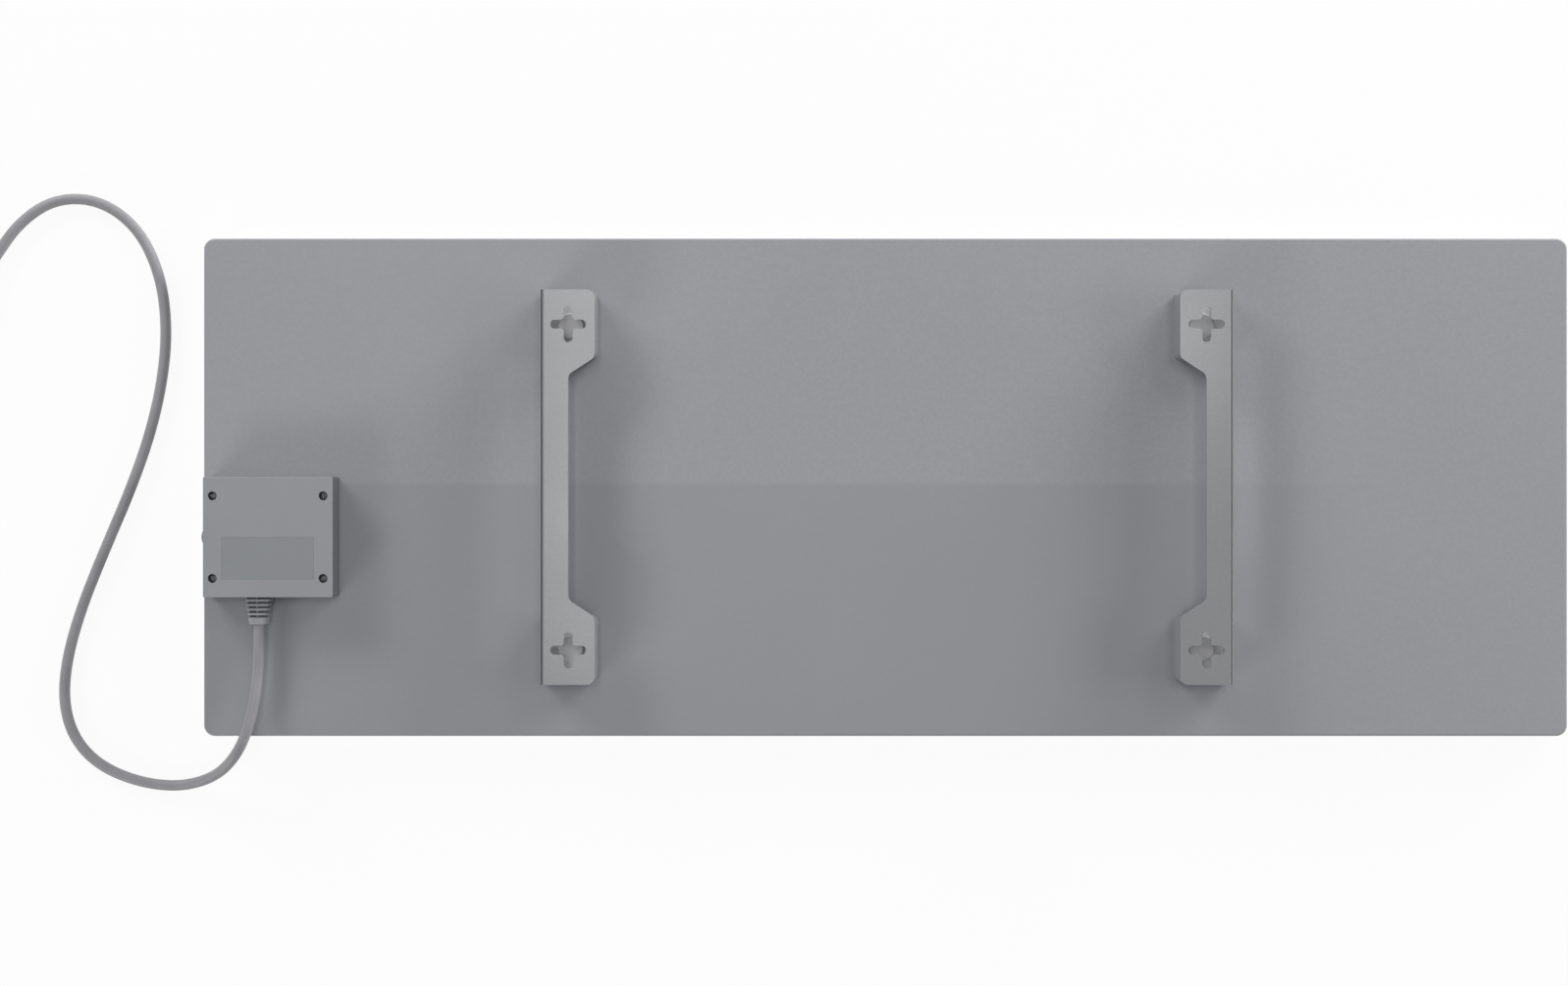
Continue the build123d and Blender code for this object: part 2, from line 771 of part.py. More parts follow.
earth_nut = nuts(
    [earth_point], earth_nut_flats, earth_nut_height, earth_stud_diameter, lug_top_z + earth_nut_height
)
earth_nut.label = "earth_nut"
export_step(earth_nut, "parts/earth_nut.step")

# ---- Control board and what it carries --------------------------------------------------
with BuildPart() as control_board:
    with BuildSketch(level(board_z)):
        with Locations(board_centre):
            RectangleRounded(board_width, board_height, box_corner)
        with Locations(*board_screw_points):
            Circle(board_screw_diameter / 2 + screw_hole_clearance, mode=Mode.SUBTRACT)
    extrude(amount=board_thickness)
control_board.part.label = "control_board"
export_step(control_board.part, "parts/control_board.step")

board_screws = pan_screws(
    board_screw_points,
    board_top_z,
    board_screw_diameter,
    board_screw_length,
    board_head_diameter,
    board_head_height,
)
board_screws.label = "board_screws"
export_step(board_screws, "parts/board_screws.step")


def on_board(place, size):
    """A plain moulded case that stands on the control board, its top edges softened."""
    with BuildPart() as made:
        with BuildSketch(level(board_top_z)):
            with Locations(in_box(place)):
                RectangleRounded(size[0], size[1], box_edge)
        extrude(amount=size[2])
        fillet(made.faces().sort_by(Axis.Z)[-1].edges(), box_edge / 2)
    return made.part


for name, place, size in (
    ("power_relay", relay_place, relay_size),
    ("power_module", module_place, module_size),
    ("filter_capacitor", capacitor_place, capacitor_size),
):
    case = on_board(place, size)
    case.label = name
    export_step(case, f"parts/{name}.step")

with BuildPart() as fuse_holder:
    with BuildSketch(level(board_top_z)):
        with Locations(in_box(fuse_place)):
            Rectangle(fuse_holder_size[0], fuse_holder_size[1])
    extrude(amount=fuse_holder_size[2])
    # The trough that the fuse lies in.
    with BuildSketch(Plane.YZ.offset(in_box(fuse_place)[0] - fuse_length / 2 - nut_clearance)):
        with Locations((in_box(fuse_place)[1], board_top_z + fuse_holder_size[2])):
            Circle(fuse_diameter / 2 + nut_clearance)
    extrude(amount=fuse_length + 2 * nut_clearance, mode=Mode.SUBTRACT)
fuse_holder.part.label = "fuse_holder"
export_step(fuse_holder.part, "parts/fuse_holder.step")

with BuildPart() as fuse:
    with BuildSketch(Plane.YZ.offset(in_box(fuse_place)[0] - fuse_length / 2)):
        with Locations((in_box(fuse_place)[1], board_top_z + fuse_holder_size[2])):
            Circle(fuse_diameter / 2)
    extrude(amount=fuse_length)
fuse.part.label = "fuse"
export_step(fuse.part, "parts/fuse.step")

with BuildPart() as terminal_block:
    with BuildSketch(level(board_top_z)):
        with Locations(in_box(terminal_place)):
            Rectangle(terminal_poles * terminal_pitch, terminal_depth)
    extrude(amount=terminal_height)
    chamfer(
        terminal_block.faces().sort_by(Axis.Z)[-1].edges().sort_by(Axis.Y)[0], terminal_depth / 4
    )
terminal_block.part.label = "terminal_block"
export_step(terminal_block.part, "parts/terminal_block.step")

# ---- Thermal cut-out on the element -----------------------------------------------------
cutout_x, cutout_y = in_box(cutout_place)
cutout_z = track_z + track_thickness
tab_z = cutout_z + cutout_height / 2
with BuildPart() as thermal_cutout:
    with BuildSketch(level(cutout_z)):
        with Locations((cutout_x, cutout_y)):
            Circle(cutout_diameter / 2)
    extrude(amount=cutout_height)
    with BuildSketch(level(tab_z)):
        with Locations((cutout_x, cutout_y)):
            Rectangle(2 * cutout_tab_reach, cutout_tab_width)
    extrude(amount=cutout_tab_thickness / 2, both=True)
thermal_cutout.part.label = "thermal_cutout"
export_step(thermal_cutout.part, "parts/thermal_cutout.step")


# ---- Leads inside the heater ------------------------------------------------------------
def tube(points, bends, radius):
    """A round cord or wire: straight runs joined by tangent arcs."""
    with BuildPart() as made:
        with BuildLine() as path:
            FilletPolyline(*points, radius=bends)
        with BuildSketch(Plane(origin=path.line @ 0, z_dir=path.line % 0)):
            Circle(radius)
        sweep()
    return made.part


channel_x = -panel_width / 2 + lead_channel
pad_x = track_start_x - track_pad_length / 2
lead_z = insulation_z + lead_radius + nut_clearance
lead_routes = [
    [
        (pad_x, track_rows[-1], lead_z),
        (channel_x, track_rows[-1], lead_z),
        (channel_x, cutout_y, lead_z),
        (channel_x + 3 * lead_bend, cutout_y, lead_z),
        (cutout_x - cutout_tab_reach - 2 * lead_bend, cutout_y, tab_z),
        (cutout_x - cutout_tab_reach, cutout_y, tab_z),
    ],
    [
        (cutout_x + cutout_tab_reach, cutout_y, tab_z),
        (terminal_points[3][0], cutout_y, tab_z),
        (terminal_points[3][0], grommet_point[1], tab_z),
        (terminal_points[3][0], grommet_point[1], terminal_entry_z),
        (terminal_points[3][0], terminal_points[3][1], terminal_entry_z),
    ],
    [
        (pad_x, track_rows[0], lead_z),
        (channel_x, track_rows[0], lead_z),
        (channel_x, grommet_point[1], lead_z),
        (terminal_points[2][0], grommet_point[1], lead_z),
        (terminal_points[2][0], grommet_point[1], terminal_entry_z),
        (terminal_points[2][0], terminal_points[2][1], terminal_entry_z),
    ],
]
lead_tubes = [tube(route, lead_bend, lead_radius) for route in lead_routes]
with BuildPart() as element_leads:
    add(lead_tubes)
element_leads.part.label = "element_leads"
export_step(element_leads.part, "parts/element_leads.step")

grommet_low_z = sheet_inner_z - grommet_flange
with BuildPart() as lead_grommet:
    with BuildSketch(level(grommet_low_z)):
        with Locations(grommet_point):
            Circle(grommet_diameter / 2 - grommet_clearance)
    extrude(amount=box_floor_z + grommet_flange - grommet_low_z)
    for flange_z in (grommet_low_z, box_floor_z):
        with BuildSketch(level(flange_z)):
            with Locations(grommet_point):
                Circle(grommet_flange_diameter / 2)
        extrude(amount=grommet_flange)
    with BuildSketch(level(grommet_low_z)):
        with Locations(grommet_point):
            Circle(grommet_bore / 2)
    extrude(amount=box_floor_z + grommet_flange - grommet_low_z, mode=Mode.SUBTRACT)
lead_grommet.part.label = "lead_grommet"
export_step(lead_grommet.part, "parts/lead_grommet.step")

# ---- Power button and the switch it pushes ----------------------------------------------
# Heights along the button's axis are counted outwards from the box's outer wall.
flange_face = -box_wall - button_flange_gap
stem_start = flange_face - button_flange_thickness
stem_end = stem_start - button_stem_length
with BuildPart() as power_button:
    with BuildSketch(button_plane.offset(flange_face)):
        Circle(button_diameter / 2)
    extrude(amount=button_proud - flange_face)
    fillet(power_button.faces().sort_by(Axis.X)[0].edges(), button_dome)
    with BuildSketch(button_plane.offset(flange_face)):
        Circle(button_flange_diameter / 2)
    extrude(amount=-button_flange_thickness)
    with BuildSketch(button_plane.offset(stem_start)):
        Circle(button_stem_diameter / 2)
    extrude(amount=-button_stem_length)
power_button.part.label = "power_button"
export_step(power_button.part, "parts/power_button.step")

with BuildPart() as switch_plunger:
    with BuildSketch(button_plane.offset(stem_end)):
        Circle(plunger_diameter / 2)
    extrude(amount=-plunger_length)
switch_plunger.part.label = "switch_plunger"
export_step(switch_plunger.part, "parts/switch_plunger.step")

switch_face = stem_end - button_travel - switch_gap
switch_x = box_left_x - switch_face + switch_depth / 2
with BuildPart() as push_switch:
    with BuildSketch(level(board_top_z)):
        with Locations((switch_x, box_y)):
            Rectangle(switch_depth, switch_width)
    extrude(amount=2 * (box_seam_z - board_top_z))
    with BuildSketch(button_plane.offset(switch_face)):
        Circle(plunger_diameter / 2 + button_clearance)
    extrude(amount=switch_wall - switch_depth, mode=Mode.SUBTRACT)
push_switch.part.label = "push_switch"
export_step(push_switch.part, "parts/push_switch.step")

# ---- Strain relief ----------------------------------------------------------------------
# Distances along it are counted outwards from the box's outer wall.
with BuildPart() as strain_relief:
    with BuildSketch(relief_plane):
        RectangleRounded(relief_root_width, relief_root_height, relief_corner)
    with BuildSketch(relief_plane.offset(relief_length)):
        RectangleRounded(relief_tip_width, relief_tip_height, relief_corner)
    loft()
    # The gaps between the fins leave the core and the spine on its flat sides.
    for gap in range(relief_fins + 1):
        gap_start = gap * relief_fin_pitch
        gap_width = relief_fin_pitch - relief_fin_thickness
        with BuildSketch(relief_plane.offset(gap_start)):
            Rectangle(2 * relief_root_width, 2 * relief_root_height)
            Circle(relief_core_diameter / 2, mode=Mode.SUBTRACT)
            Rectangle(relief_spine, 2 * relief_root_height, mode=Mode.SUBTRACT)
        extrude(amount=gap_width, mode=Mode.SUBTRACT)
    with BuildSketch(relief_plane):
        Circle(relief_neck_diameter / 2)
    extrude(amount=-box_wall)
    with BuildSketch(relief_plane.offset(-box_wall)):
        Circle(relief_flange_diameter / 2)
    extrude(amount=-relief_flange)
    with BuildSketch(relief_plane.offset(relief_length)):
        Circle(cord_radius + relief_bore_clearance)
    extrude(amount=-relief_length - box_wall - relief_flange, mode=Mode.SUBTRACT)
strain_relief.part.label = "strain_relief"
export_step(strain_relief.part, "parts/strain_relief.step")

# ---- The cord's end inside the box ------------------------------------------------------
cord_end_y = box_low_y + cord_end_distance
with BuildPart() as inner_cord:
    with BuildSketch(relief_plane.offset(relief_length)):
        Circle(cord_radius)
    extrude(amount=-relief_length - cord_end_distance)
inner_cord.part.label = "inner_cord"
export_step(inner_cord.part, "parts/inner_cord.step")

with BuildPart() as cord_clamp:
    with BuildSketch(level(box_seam_z + cord_radius)):
        with Locations((relief_x, clamp_y)):
            SlotOverall(clamp_post_spacing + clamp_bar_width, clamp_bar_width)
        with Locations(*clamp_post_points):
            Circle(clamp_screw_diameter / 2 + screw_hole_clearance, mode=Mode.SUBTRACT)
    extrude(amount=clamp_bar_thickness)
cord_clamp.part.label = "cord_clamp"
export_step(cord_clamp.part, "parts/cord_clamp.step")

clamp_screws = pan_screws(
    clamp_post_points,
    box_seam_z + cord_radius + clamp_bar_thickness,
    clamp_screw_diameter,
    clamp_screw_length,
    clamp_head_diameter,
    clamp_head_height,
)
clamp_screws.label = "clamp_screws"
export_step(clamp_screws, "parts/clamp_screws.step")

# The live and neutral cores cross over to the terminals. The earth core passes above them, turns
# down beside the clamp and ends in the earth lug.
core_y = cord_end_y + core_turn
earth_core_z = terminal_entry_z + core_lift
earth_core_x = relief_x - earth_core_reach
core_routes = [
    [
        (relief_x + start, cord_end_y, terminal_entry_z),
        (relief_x + start, turn_y, terminal_entry_z),
        (pole[0], turn_y, terminal_entry_z),
        (pole[0], pole[1], terminal_entry_z),
    ]
    for start, turn_y, pole in (
        (core_spread, core_y, terminal_points[1]),
        (-core_spread, core_y + core_step, terminal_points[0]),
    )
]
core_routes.append(
    [
        (relief_x, cord_end_y, earth_core_z),
        (relief_x, core_y, earth_core_z),
        (earth_core_x, core_y, earth_core_z),
        (earth_core_x, core_y, barrel_z),
        (earth_core_x, earth_point[1], barrel_z),
        (barrel_x + earth_barrel_length - earth_barrel_grip, earth_point[1], barrel_z),
    ]
)
core_tubes = [tube(route, core_bend, core_radius) for route in core_routes]
with BuildPart() as mains_wires:
    add(core_tubes)
mains_wires.part.label = "mains_wires"
export_step(mains_wires.part, "parts/mains_wires.step")


# ---- Free cord --------------------------------------------------------------------------
coil_low_z = floor_clearance + tie_thickness + tie_floor_clearance + cord_radius
coil_turns = 2 * coil_layer_turns + 0.5


def coil_state(turns):
    """Where the coil's centreline is after some turns, and which way it heads there.

    It spirals in on the lower layer, climbs in the half turn where it reverses, and spirals out
    on the upper layer, always clockwise.
    """
    climb = min(max(turns - coil_layer_turns, 0.0), 0.5)
    inward = min(turns, coil_layer_turns)
    outward = max(turns - coil_layer_turns - 0.5, 0.0)
    radius = coil_radius - coil_pitch * (inward + climb * (1 - 2 * climb) - outward)
    radius_rate = coil_pitch * (-1 if turns < coil_layer_turns else 4 * climb - 1)
    height = coil_low_z + coil_layer_rise * (12 * climb**2 - 16 * climb**3)
    height_rate = coil_layer_rise * (24 * climb - 48 * climb**2)
    angle = math.radians(coil_start_angle) - 2 * math.pi * turns
    outwards = Vector(math.cos(angle), math.sin(angle), 0)
    onwards = Vector(math.sin(angle), -math.cos(angle), 0)
    place = Vector(coil_centre[0], coil_centre[1], height) + outwards * radius
    rates = outwards * radius_rate + onwards * 2 * math.pi * radius + Vector(0, 0, height_rate)
    return place, rates.normalized()


def arc_radii(points):
    """The radius at each corner: as large as a fixed share of its shorter run allows."""
    runs = [Vector(*end) - Vector(*start) for start, end in zip(points, points[1:])]
    radii = []
    for before, after in zip(runs, runs[1:]):
        half_turn = math.radians(before.get_angle(after)) / 2
        radii.append(cord_arc_share * min(before.length, after.length) / math.tan(half_turn))
    return radii


def report_cord(name, part, path):
    """Print a cord's length and how its volume compares with its section times its length."""
    expected = math.pi * cord_radius**2 * path.length
    print(f"{name}: length {path.length:.1f} mm, volume ratio {part.volume / expected:.4f}")


coil_start, coil_start_heading = coil_state(0)
coil_end, coil_end_heading = coil_state(coil_turns)
coil_entry = coil_start - coil_start_heading * cord_diameter
coil_exit = coil_end + coil_end_heading * cord_diameter
relief_end = (relief_x, box_low_y - relief_length, box_seam_z)
free_route = [
    relief_end,
    (relief_x, relief_end[1] - cord_exit_run, box_seam_z),
    *cord_points,
    tuple(coil_entry - coil_start_heading * coil_lead_in),
    tuple(coil_entry),
]
free_radii = arc_radii(free_route)
print("free cord radii:", ", ".join(f"{radius:.0f}" for radius in free_radii))
with BuildPart() as power_cord:
    with BuildLine() as free_path:
        FilletPolyline(*free_route, radius=free_radii)
    with BuildSketch(Plane(origin=free_path.line @ 0, z_dir=free_path.line % 0)):
        Circle(cord_radius)
    sweep()
power_cord.part.label = "power_cord"
export_step(power_cord.part, "parts/power_cord.step")
report_cord("free cord", power_cord.part, free_path.wire())

# ---- Coil of the cord's spare length ----------------------------------------------------
coil_steps = int(coil_turns * coil_steps_per_turn)
coil_states = [coil_state(step / coil_steps_per_turn) for step in range(coil_steps + 1)]
with BuildPart() as cord_coil:
    with BuildLine() as coil_path:
        Line(coil_entry, coil_start)
        for (start, leave), (end, arrive) in zip(coil_states, coil_states[1:]):
            # Two tangent arcs join each pair of places and headings.
            chord = end - start
            along = chord.dot(leave + arrive)
            spread = 2 * (1 - leave.dot(arrive))
            reach = (math.sqrt(along**2 + spread * chord.dot(chord)) - along) / spread
            middle = (start + leave * reach + end - arrive * reach) * 0.5
            first_arc = TangentArc(start, middle, tangent=leave)
            TangentArc(middle, end, tangent=first_arc % 1)
        Line(coil_end, coil_exit)
    with BuildSketch(Plane(origin=coil_path.line @ 0, z_dir=coil_path.line % 0)):
        Circle(cord_radius)
    sweep()
cord_coil.part.label = "cord_coil"
export_step(cord_coil.part, "parts/cord_coil.step")
report_cord("coil", cord_coil.part, coil_path.wire())

coil_samples = int(coil_turns * coil_samples_per_turn)
coil_wire = coil_path.wire()
samples = [coil_wire @ (step / coil_samples) for step in range(coil_samples + 1)]
apart = coil_samples_per_turn // 3
least_gap = min(
    (samples[first] - samples[second]).length - cord_diameter
    for first in range(len(samples))
    for second in range(first + apart, len(samples))
)
print(f"coil: {coil_turns} turns, least gap to itself {least_gap:.2f} mm")

# The band round the turns, lapped and fastened on its outer side.
tie_turns = [
    coil_state(turns)[0]
    for turns in ((coil_start_angle - tie_angle) / 360 % 1 + lap for lap in range(coil_layer_turns))
]
tie_radius = sum((place - Vector(*coil_centre, place.Z)).length for place in tie_turns) / len(tie_turns)
tie_outwards = Vector(math.cos(math.radians(tie_angle)), math.sin(math.radians(tie_angle)), 0)
tie_span = (coil_layer_turns - 1) * coil_pitch + cord_diameter + 2 * tie_side_clearance
tie_rise = coil_layer_rise + cord_diameter + 2 * tie_floor_clearance
tie_plane = Plane(
    origin=Vector(*coil_centre, coil_low_z + coil_layer_rise / 2) + tie_outwards * tie_radius,
    x_dir=tie_outwards,
    z_dir=Vector(tie_outwards.Y, -tie_outwards.X, 0),
)
with BuildPart() as cord_tie:
    with BuildSketch(tie_plane):
        RectangleRounded(tie_span + 2 * tie_thickness, tie_rise + 2 * tie_thickness, tie_corner)
        RectangleRounded(tie_span, tie_rise, tie_corner - tie_thickness, mode=Mode.SUBTRACT)
        with Locations(((tie_span + 3 * tie_thickness) / 2, 0)):
            Rectangle(tie_thickness, tie_rise / 2)
    extrude(amount=tie_width / 2, both=True)
cord_tie.part.label = "cord_tie"
export_step(cord_tie.part, "parts/cord_tie.step")

# ---- Tail from the coil to the plug -----------------------------------------------------
tail_start_run = coil_exit + coil_end_heading * tail_end_run
tail_rise_heading = coil_end_heading.rotate(Axis.Z, tail_turn)
plug_heading = coil_end_heading.rotate(Axis.Z, 2 * tail_turn)
tail_end = tail_start_run + tail_rise_heading * tail_rise_run
tail_end = Vector(tail_end.X, tail_end.Y, plug_axis_height)
plug_entry = tail_end + plug_heading * tail_end_run
tail_route = [tuple(point) for point in (coil_exit, tail_start_run, tail_end, plug_entry)]
tail_radii = arc_radii(tail_route)
print("tail radii:", ", ".join(f"{radius:.0f}" for radius in tail_radii))
with BuildPart() as cord_tail:
    with BuildLine() as tail_path:
        FilletPolyline(*tail_route, radius=tail_radii)
    with BuildSketch(Plane(origin=tail_path.line @ 0, z_dir=tail_path.line % 0)):
        Circle(cord_radius)
    sweep()
cord_tail.part.label = "cord_tail"
export_step(cord_tail.part, "parts/cord_tail.step")
report_cord("tail", cord_tail.part, tail_path.wire())

# ---- Earthed two-pin plug ---------------------------------------------------------------
# Distances along the plug are counted from where the cord goes in.
plug_length = plug_boot_length + plug_body_length
plug_side = Vector(-plug_heading.Y, plug_heading.X, 0)
plug_plane = Plane(origin=plug_entry, x_dir=plug_side, z_dir=plug_heading)
plug_section = Plane(origin=plug_entry, x_dir=plug_side, z_dir=(0, 0, -1))
plug_half_height = plug_axis_height - floor_clearance
pin_points = [(-pin_spacing / 2, 0), (pin_spacing / 2, 0)]
clip_points = [(0, plug_half_height - clip_thickness / 2), (0, clip_thickness / 2 - plug_half_height)]
with BuildPart() as plug_body:
    with BuildSketch(plug_section):
        with BuildLine():
            Line((0, 0), (plug_boot_diameter / 2, 0))
            Line((plug_boot_diameter / 2, 0), (plug_neck_diameter / 2, plug_boot_length))
            Spline(
                (plug_neck_diameter / 2, plug_boot_length),
                (plug_face_diameter / 2, plug_boot_length + plug_grip_length),
                tangents=[(0, 1), (0, 1)],
            )
            Polyline(
                (plug_face_diameter / 2, plug_boot_length + plug_grip_length),
                (plug_face_diameter / 2, plug_length),
                (0, plug_length),
                (0, 0),
            )
        make_face()
    revolve(axis=Axis(origin=plug_entry, direction=plug_heading))
    fillet(plug_body.faces().sort_by(Axis(plug_entry, plug_heading))[-1].edges(), plug_face_round)
    # Flat top and bottom, on which the plug lies.
    with BuildSketch(plug_plane):
        Rectangle(2 * plug_face_diameter, 2 * plug_face_diameter)
        Rectangle(2 * plug_face_diameter, 2 * plug_half_height, mode=Mode.SUBTRACT)
    extrude(amount=plug_length, mode=Mode.SUBTRACT)
    # Rings cut in the boot so that it bends with the cord.
    for groove in range(boot_grooves):
        groove_start = boot_groove_pitch * (groove + 0.5)
        with BuildSketch(plug_plane.offset(groove_start)):
            Circle(plug_neck_diameter)
            Circle(
                plug_boot_diameter / 2
                + (plug_neck_diameter - plug_boot_diameter) / 2 * groove_start / plug_boot_length
                - boot_groove_depth,
                mode=Mode.SUBTRACT,
            )
        extrude(amount=boot_groove_width, mode=Mode.SUBTRACT)
    # Seats for the pins and the side contacts, and the socket for an outlet's earth pin.
    with BuildSketch(plug_plane.offset(plug_length)):
        with Locations(*pin_points):
            Circle(pin_diameter / 2 + pin_clearance)
    extrude(amount=-pin_seat_depth, mode=Mode.SUBTRACT)
    with BuildSketch(plug_plane.offset(plug_length)):
        with Locations((0, earth_socket_offset)):
            Circle(earth_socket_diameter / 2)
    extrude(amount=-earth_socket_depth, mode=Mode.SUBTRACT)
    with BuildSketch(plug_plane.offset(plug_length)):
        with Locations(*clip_points):
            Rectangle(clip_width + 2 * clip_clearance, clip_thickness)
    extrude(amount=-clip_length, mode=Mode.SUBTRACT)
plug_body.part.label = "plug_body"
export_step(plug_body.part, "parts/plug_body.step")

with BuildPart() as plug_pins:
    with BuildSketch(plug_plane.offset(plug_length - pin_seat_depth)):
        with Locations(*pin_points):
            Circle(pin_diameter / 2)
    extrude(amount=pin_seat_depth + pin_length)
    pin_tips = plug_pins.faces().group_by(Axis(plug_entry, plug_heading))[-1].edges()
    fillet(pin_tips, pin_tip_round)
plug_pins.part.label = "plug_pins"
export_step(plug_pins.part, "parts/plug_pins.step")

with BuildPart() as plug_earth_clips:
    with BuildSketch(plug_plane.offset(plug_length)):
        with Locations(*clip_points):
            Rectangle(clip_width, clip_thickness)
    extrude(amount=-clip_length)
plug_earth_clips.part.label = "plug_earth_clips"
export_step(plug_earth_clips.part, "parts/plug_earth_clips.step")
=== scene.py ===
"""An infrared panel heater lying on its front face, dressed for a studio picture of its back."""

import math

import bmesh
import bpy
from bpy.props import FloatProperty, FloatVectorProperty, PointerProperty
from mathutils import Matrix, Vector


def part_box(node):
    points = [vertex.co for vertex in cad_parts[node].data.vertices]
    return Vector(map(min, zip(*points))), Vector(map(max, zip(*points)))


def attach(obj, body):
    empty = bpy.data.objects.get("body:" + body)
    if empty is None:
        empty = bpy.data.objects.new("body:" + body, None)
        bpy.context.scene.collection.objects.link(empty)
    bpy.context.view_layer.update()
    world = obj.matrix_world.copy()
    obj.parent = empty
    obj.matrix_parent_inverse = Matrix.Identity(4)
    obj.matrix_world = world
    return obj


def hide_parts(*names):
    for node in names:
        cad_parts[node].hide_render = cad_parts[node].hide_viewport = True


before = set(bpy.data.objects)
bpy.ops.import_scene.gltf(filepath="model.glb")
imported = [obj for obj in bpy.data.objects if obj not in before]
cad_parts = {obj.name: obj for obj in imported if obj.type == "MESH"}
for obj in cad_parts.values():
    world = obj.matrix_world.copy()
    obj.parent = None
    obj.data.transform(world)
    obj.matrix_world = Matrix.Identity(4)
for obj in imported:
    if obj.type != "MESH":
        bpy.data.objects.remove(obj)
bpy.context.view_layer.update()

bl_info = {
    "name": "Infrared Panel Heater",
    "version": (1, 0, 0),
    "blender": (4, 5, 0),
    "location": "View3D > Sidebar > Heater",
    "description": "Finishes, mains cord, small fittings and studio of an infrared panel heater",
    "category": "Object",
}

HEATER = "heater"
BUTTON = "button"

# The cord's free line from the strain relief to its coil, and the coil's own sizes.
CORD_ROUTE = (
    (-0.4565, -0.0996, 0.031),
    (-0.4565, -0.117, 0.031),
    (-0.4578, -0.139, 0.0295),
    (-0.4608, -0.163, 0.0325),
    (-0.468, -0.187, 0.0325),
    (-0.482, -0.205, 0.024),
    (-0.501, -0.2165, 0.01),
    (-0.525, -0.222, 0.0042),
    (-0.553, -0.2185, 0.004),
    (-0.581, -0.207, 0.004),
    (-0.6, -0.188, 0.004),
    (-0.6085, -0.162, 0.004),
    (-0.607, -0.131, 0.004),
    (-0.5965, -0.092, 0.004),
    (-0.578, -0.046, 0.004),
    (-0.559, -0.002, 0.004),
    (-0.5435, 0.042, 0.004),
    (-0.5345, 0.084, 0.004),
    (-0.532, 0.121, 0.004),
    (-0.537, 0.158, 0.004),
    (-0.553, 0.192, 0.004),
    (-0.581, 0.213, 0.004),
    (-0.614, 0.2145, 0.004),
    (-0.641, 0.197, 0.0044),
)
COIL_CENTRE = (-0.717, 0.173)
COIL_RADIUS = 0.0508
COIL_PITCH = 0.0086
COIL_LOW = 0.0054
COIL_RISE = 0.0084
COIL_LAYER_TURNS = 2
COIL_CLIMB_TURNS = 0.5
COIL_TURNS = 2 * COIL_LAYER_TURNS + COIL_CLIMB_TURNS
COIL_START_ANGLE = math.radians(-30)
COIL_POINTS_PER_TURN = 16
COIL_LEAD_IN = 0.018
TAIL_END_RUN = 0.013
TAIL_RISE_RUN = 0.0172
TAIL_TURN = math.radians(6)
PLUG_AXIS_HEIGHT = 0.017

# The tie, and its band's section in shares of half its width and half its thickness.
TIE_ANGLE = math.radians(60)
TIE_CORNER = 0.003
TIE_PLAY = 0.0008
TIE_LAP_SHARE = 0.62
BAND_SECTION = (
    (-1, -0.5), (-0.9, -1), (0, -1), (0.9, -1), (1, -0.5),
    (1, 0.5), (0.9, 1), (0, 0.8), (-0.9, 1), (-1, 0.5),
)

# Where light is painted inside the ears, and where the painted shade line along the wall plates'
# outer bend runs: distances from a middle line, and heights over the floor.
EARS_ACROSS = (0.2147, 0.2474)
EARS_UPRIGHT = (0.0978, 0.1375)
EARS_TOP = (0.0436, 0.0438)
BEND_SHADE = (0.2484, 0.2493)
BEND_SHADE_MIDDLE = -0.00045
BEND_SHADE_HEIGHT = (0.0432, 0.0436)

# The rear sheet's part with painted shade: the edge at its top, the fade to its right, and its
# strength.
SHADE_STEP_TOP = (0.0005, 0.0045)
SHADE_STEP_RIGHT = (0.2, 0.38)
SHADE_STEP_SHARE = 0.62

# How far under the cover's face the painted shade on the box's walls is full, and where it ends.
WALL_SHADE_SPAN = (0.0011, 0.0005)

# The strain relief: half its width and height at the box and at its tip, and its smaller forms.
FIN_ROOT = (0.00915, 0.0063)
FIN_TIP = (0.0062, 0.0051)
FIN_CORNER = 0.0026
FIN_GROOVES = 5
GROOVE_SIDE_DEPTH = 0.0009
GROOVE_TOP_DEPTH = 0.0021
RELIEF_TIP_BEVEL = 0.0004
RELIEF_NECK = 0.0051
RELIEF_FLANGE = 0.0075
RELIEF_FLANGE_THICKNESS = 0.0025
RELIEF_PLAY = 0.00005
RIB_HALF_WIDTH = 0.00045
RIB_FOOT = 0.003
RIB_DROP = 0.0005

# The button along its own line, from the wall's outer face: its flange, rim and dish.
BUTTON_FLANGE = (-0.0036, -0.0021)
BUTTON_RIM = 0.0013
BUTTON_DISH = (0.00015, 0.0003)

LABEL_MARGIN = 0.00006
LABEL_CORNER = 0.0008
LABEL_TOP_SHARE = 0.2
SMOOTH_UP_TO = math.radians(35)
FLOOR_GLOW = 0.92


def colour_setting(name, description, default):
    """A colour that the sidebar offers."""
    return FloatVectorProperty(
        name=name, description=description, subtype="COLOR", size=3, min=0, max=1, default=default
    )


def length_setting(name, description, default):
    """A length that the sidebar offers."""
    return FloatProperty(
        name=name, description=description, unit="LENGTH", min=0, default=default, precision=5
    )


def power_setting(name, description, default):
    """A lamp's power that the sidebar offers."""
    return FloatProperty(name=name, description=description, unit="POWER", min=0, default=default)


